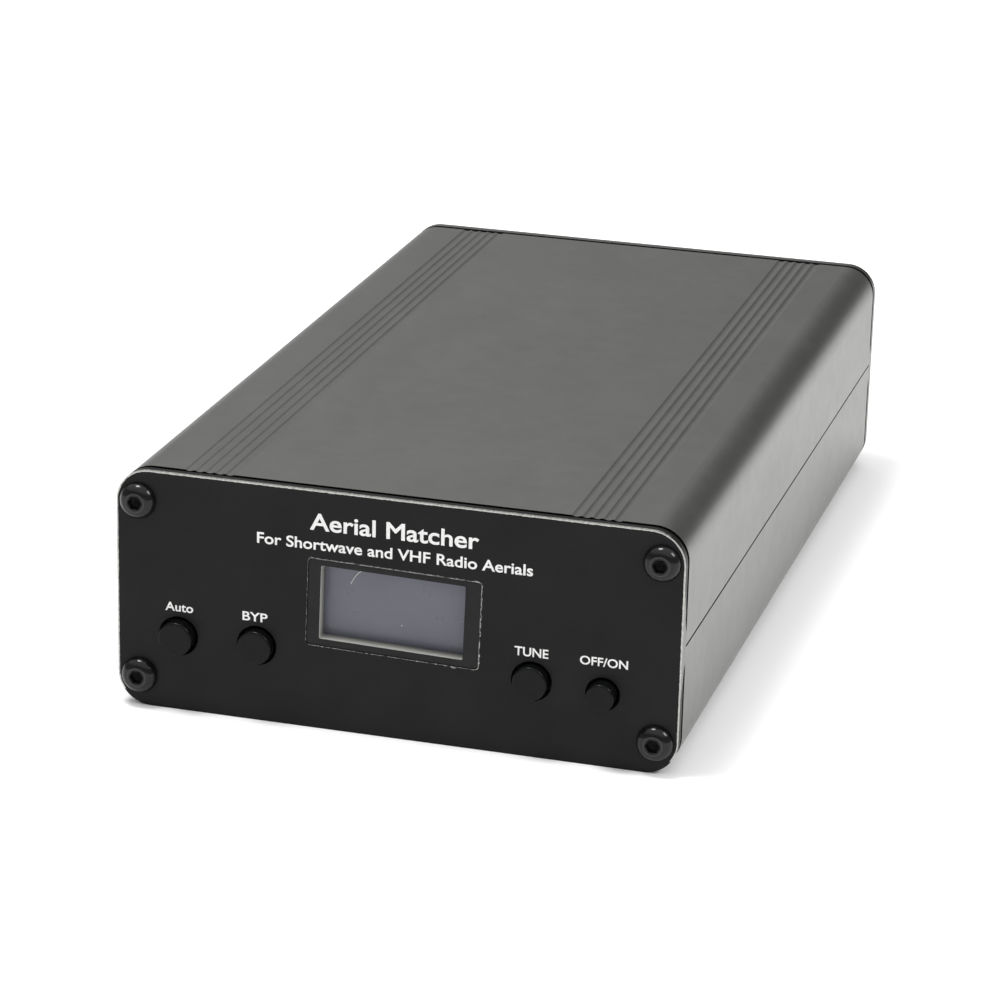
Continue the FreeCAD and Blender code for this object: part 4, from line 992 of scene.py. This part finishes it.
COUPLER_RINGS_Y = (34.0, 46.0)
COUPLER_Z = BOARD_TOP + 7.5
COUPLER_OUTER_R, COUPLER_INNER_R, COUPLER_THICK = 4.8, 2.4, 4.8
COUPLER_WIRE_R = 0.17
COUPLER_CLEAR = 0.2
COUPLER_BEND = 0.3
COUPLER_TURNS = 12
COUPLER_TAIL_X = 4.8


def coupler_path(middle_y):
    """Evenly spaced turns over the upper part of a coupler ring, with both ends down to the board."""
    outer_r = COUPLER_OUTER_R + COUPLER_CLEAR
    loop = ring_section(COUPLER_THICK / 2 + COUPLER_CLEAR, COUPLER_INNER_R - COUPLER_CLEAR, outer_r,
                        COUPLER_BEND, COUPLER_OUTER_R - COUPLER_TAIL_IN)
    # the tails leave from the middle of the ring's outer face
    loop = [(0.0, outer_r)] + loop[-CORNER_POINTS:] + loop[:-CORNER_POINTS] + [(0.0, outer_r)]
    tail = math.asin(COUPLER_TAIL_X / outer_r)
    places = wound(loop, COUPLER_TURNS, 1, -tail, -(2 * math.pi - 2 * tail))
    path = [(radius * math.sin(angle), middle_y + across, COUPLER_Z - radius * math.cos(angle))
            for across, radius, angle in places]
    first, last = path[0], path[-1]
    return [(first[0], first[1], LEAD_LOW)] + path + [(last[0], last[1], LEAD_LOW)]


def add_windings(materials):
    copper = materials["enamelled_copper"]
    for name, paths, radius, node in (
            ("air_coil_turns", [air_coil_path(x, length) for x, length in AIR_COILS.items()],
             AIR_COIL_WIRE_R, "air_coils"),
            ("toroid_turns", [toroid_path(*row) for row in TOROIDS], TOROID_WIRE_R, "toroid_windings"),
            ("coupler_turns", [coupler_path(y) for y in COUPLER_RINGS_Y], COUPLER_WIRE_R,
             "coupler_windings")):
        piece = add_piece(name, wire_mesh(name, paths, radius), copper)
        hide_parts(node)


# -------- the power button's return spring --------

SPRING_X, SPRING_Z = 32.3, 11.5
SPRING_FRONT, SPRING_BACK = -64.2, -58.5
SPRING_MEAN_R = 1.175
SPRING_WIRE_R = 0.16
SPRING_TURNS = 7
# the part of a turn at each end that lies flat
SPRING_FLAT = 0.8
SPRING_STEPS = 24


def add_spring(materials):
    """A coil spring between the slider and the switch's end wall."""
    steps = SPRING_STEPS * SPRING_TURNS
    path = []
    for k in range(steps + 1):
        share = k / steps
        along = min(max((share * SPRING_TURNS - SPRING_FLAT) / (SPRING_TURNS - 2 * SPRING_FLAT), 0), 1)
        y = SPRING_FRONT + SPRING_WIRE_R + along * (SPRING_BACK - SPRING_FRONT - 2 * SPRING_WIRE_R)
        angle = 2 * math.pi * SPRING_TURNS * share
        path.append((SPRING_X + SPRING_MEAN_R * math.cos(angle), y,
                     SPRING_Z + SPRING_MEAN_R * math.sin(angle)))
    piece = add_piece("power_spring_coil", wire_mesh("power_spring_coil", [path], SPRING_WIRE_R),
                      materials["tinned_steel"])
    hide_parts("power_switch_spring")
    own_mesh(piece)


# ======== build ========

bpy.context.scene.view_settings.view_transform = "Standard"
add_camera()
add_stage()
add_light()
materials = make_materials()
dress_nodes(materials)
add_prints()
add_window_rim()
add_lint()
add_sockets(materials)
add_windings(materials)
add_spring(materials)
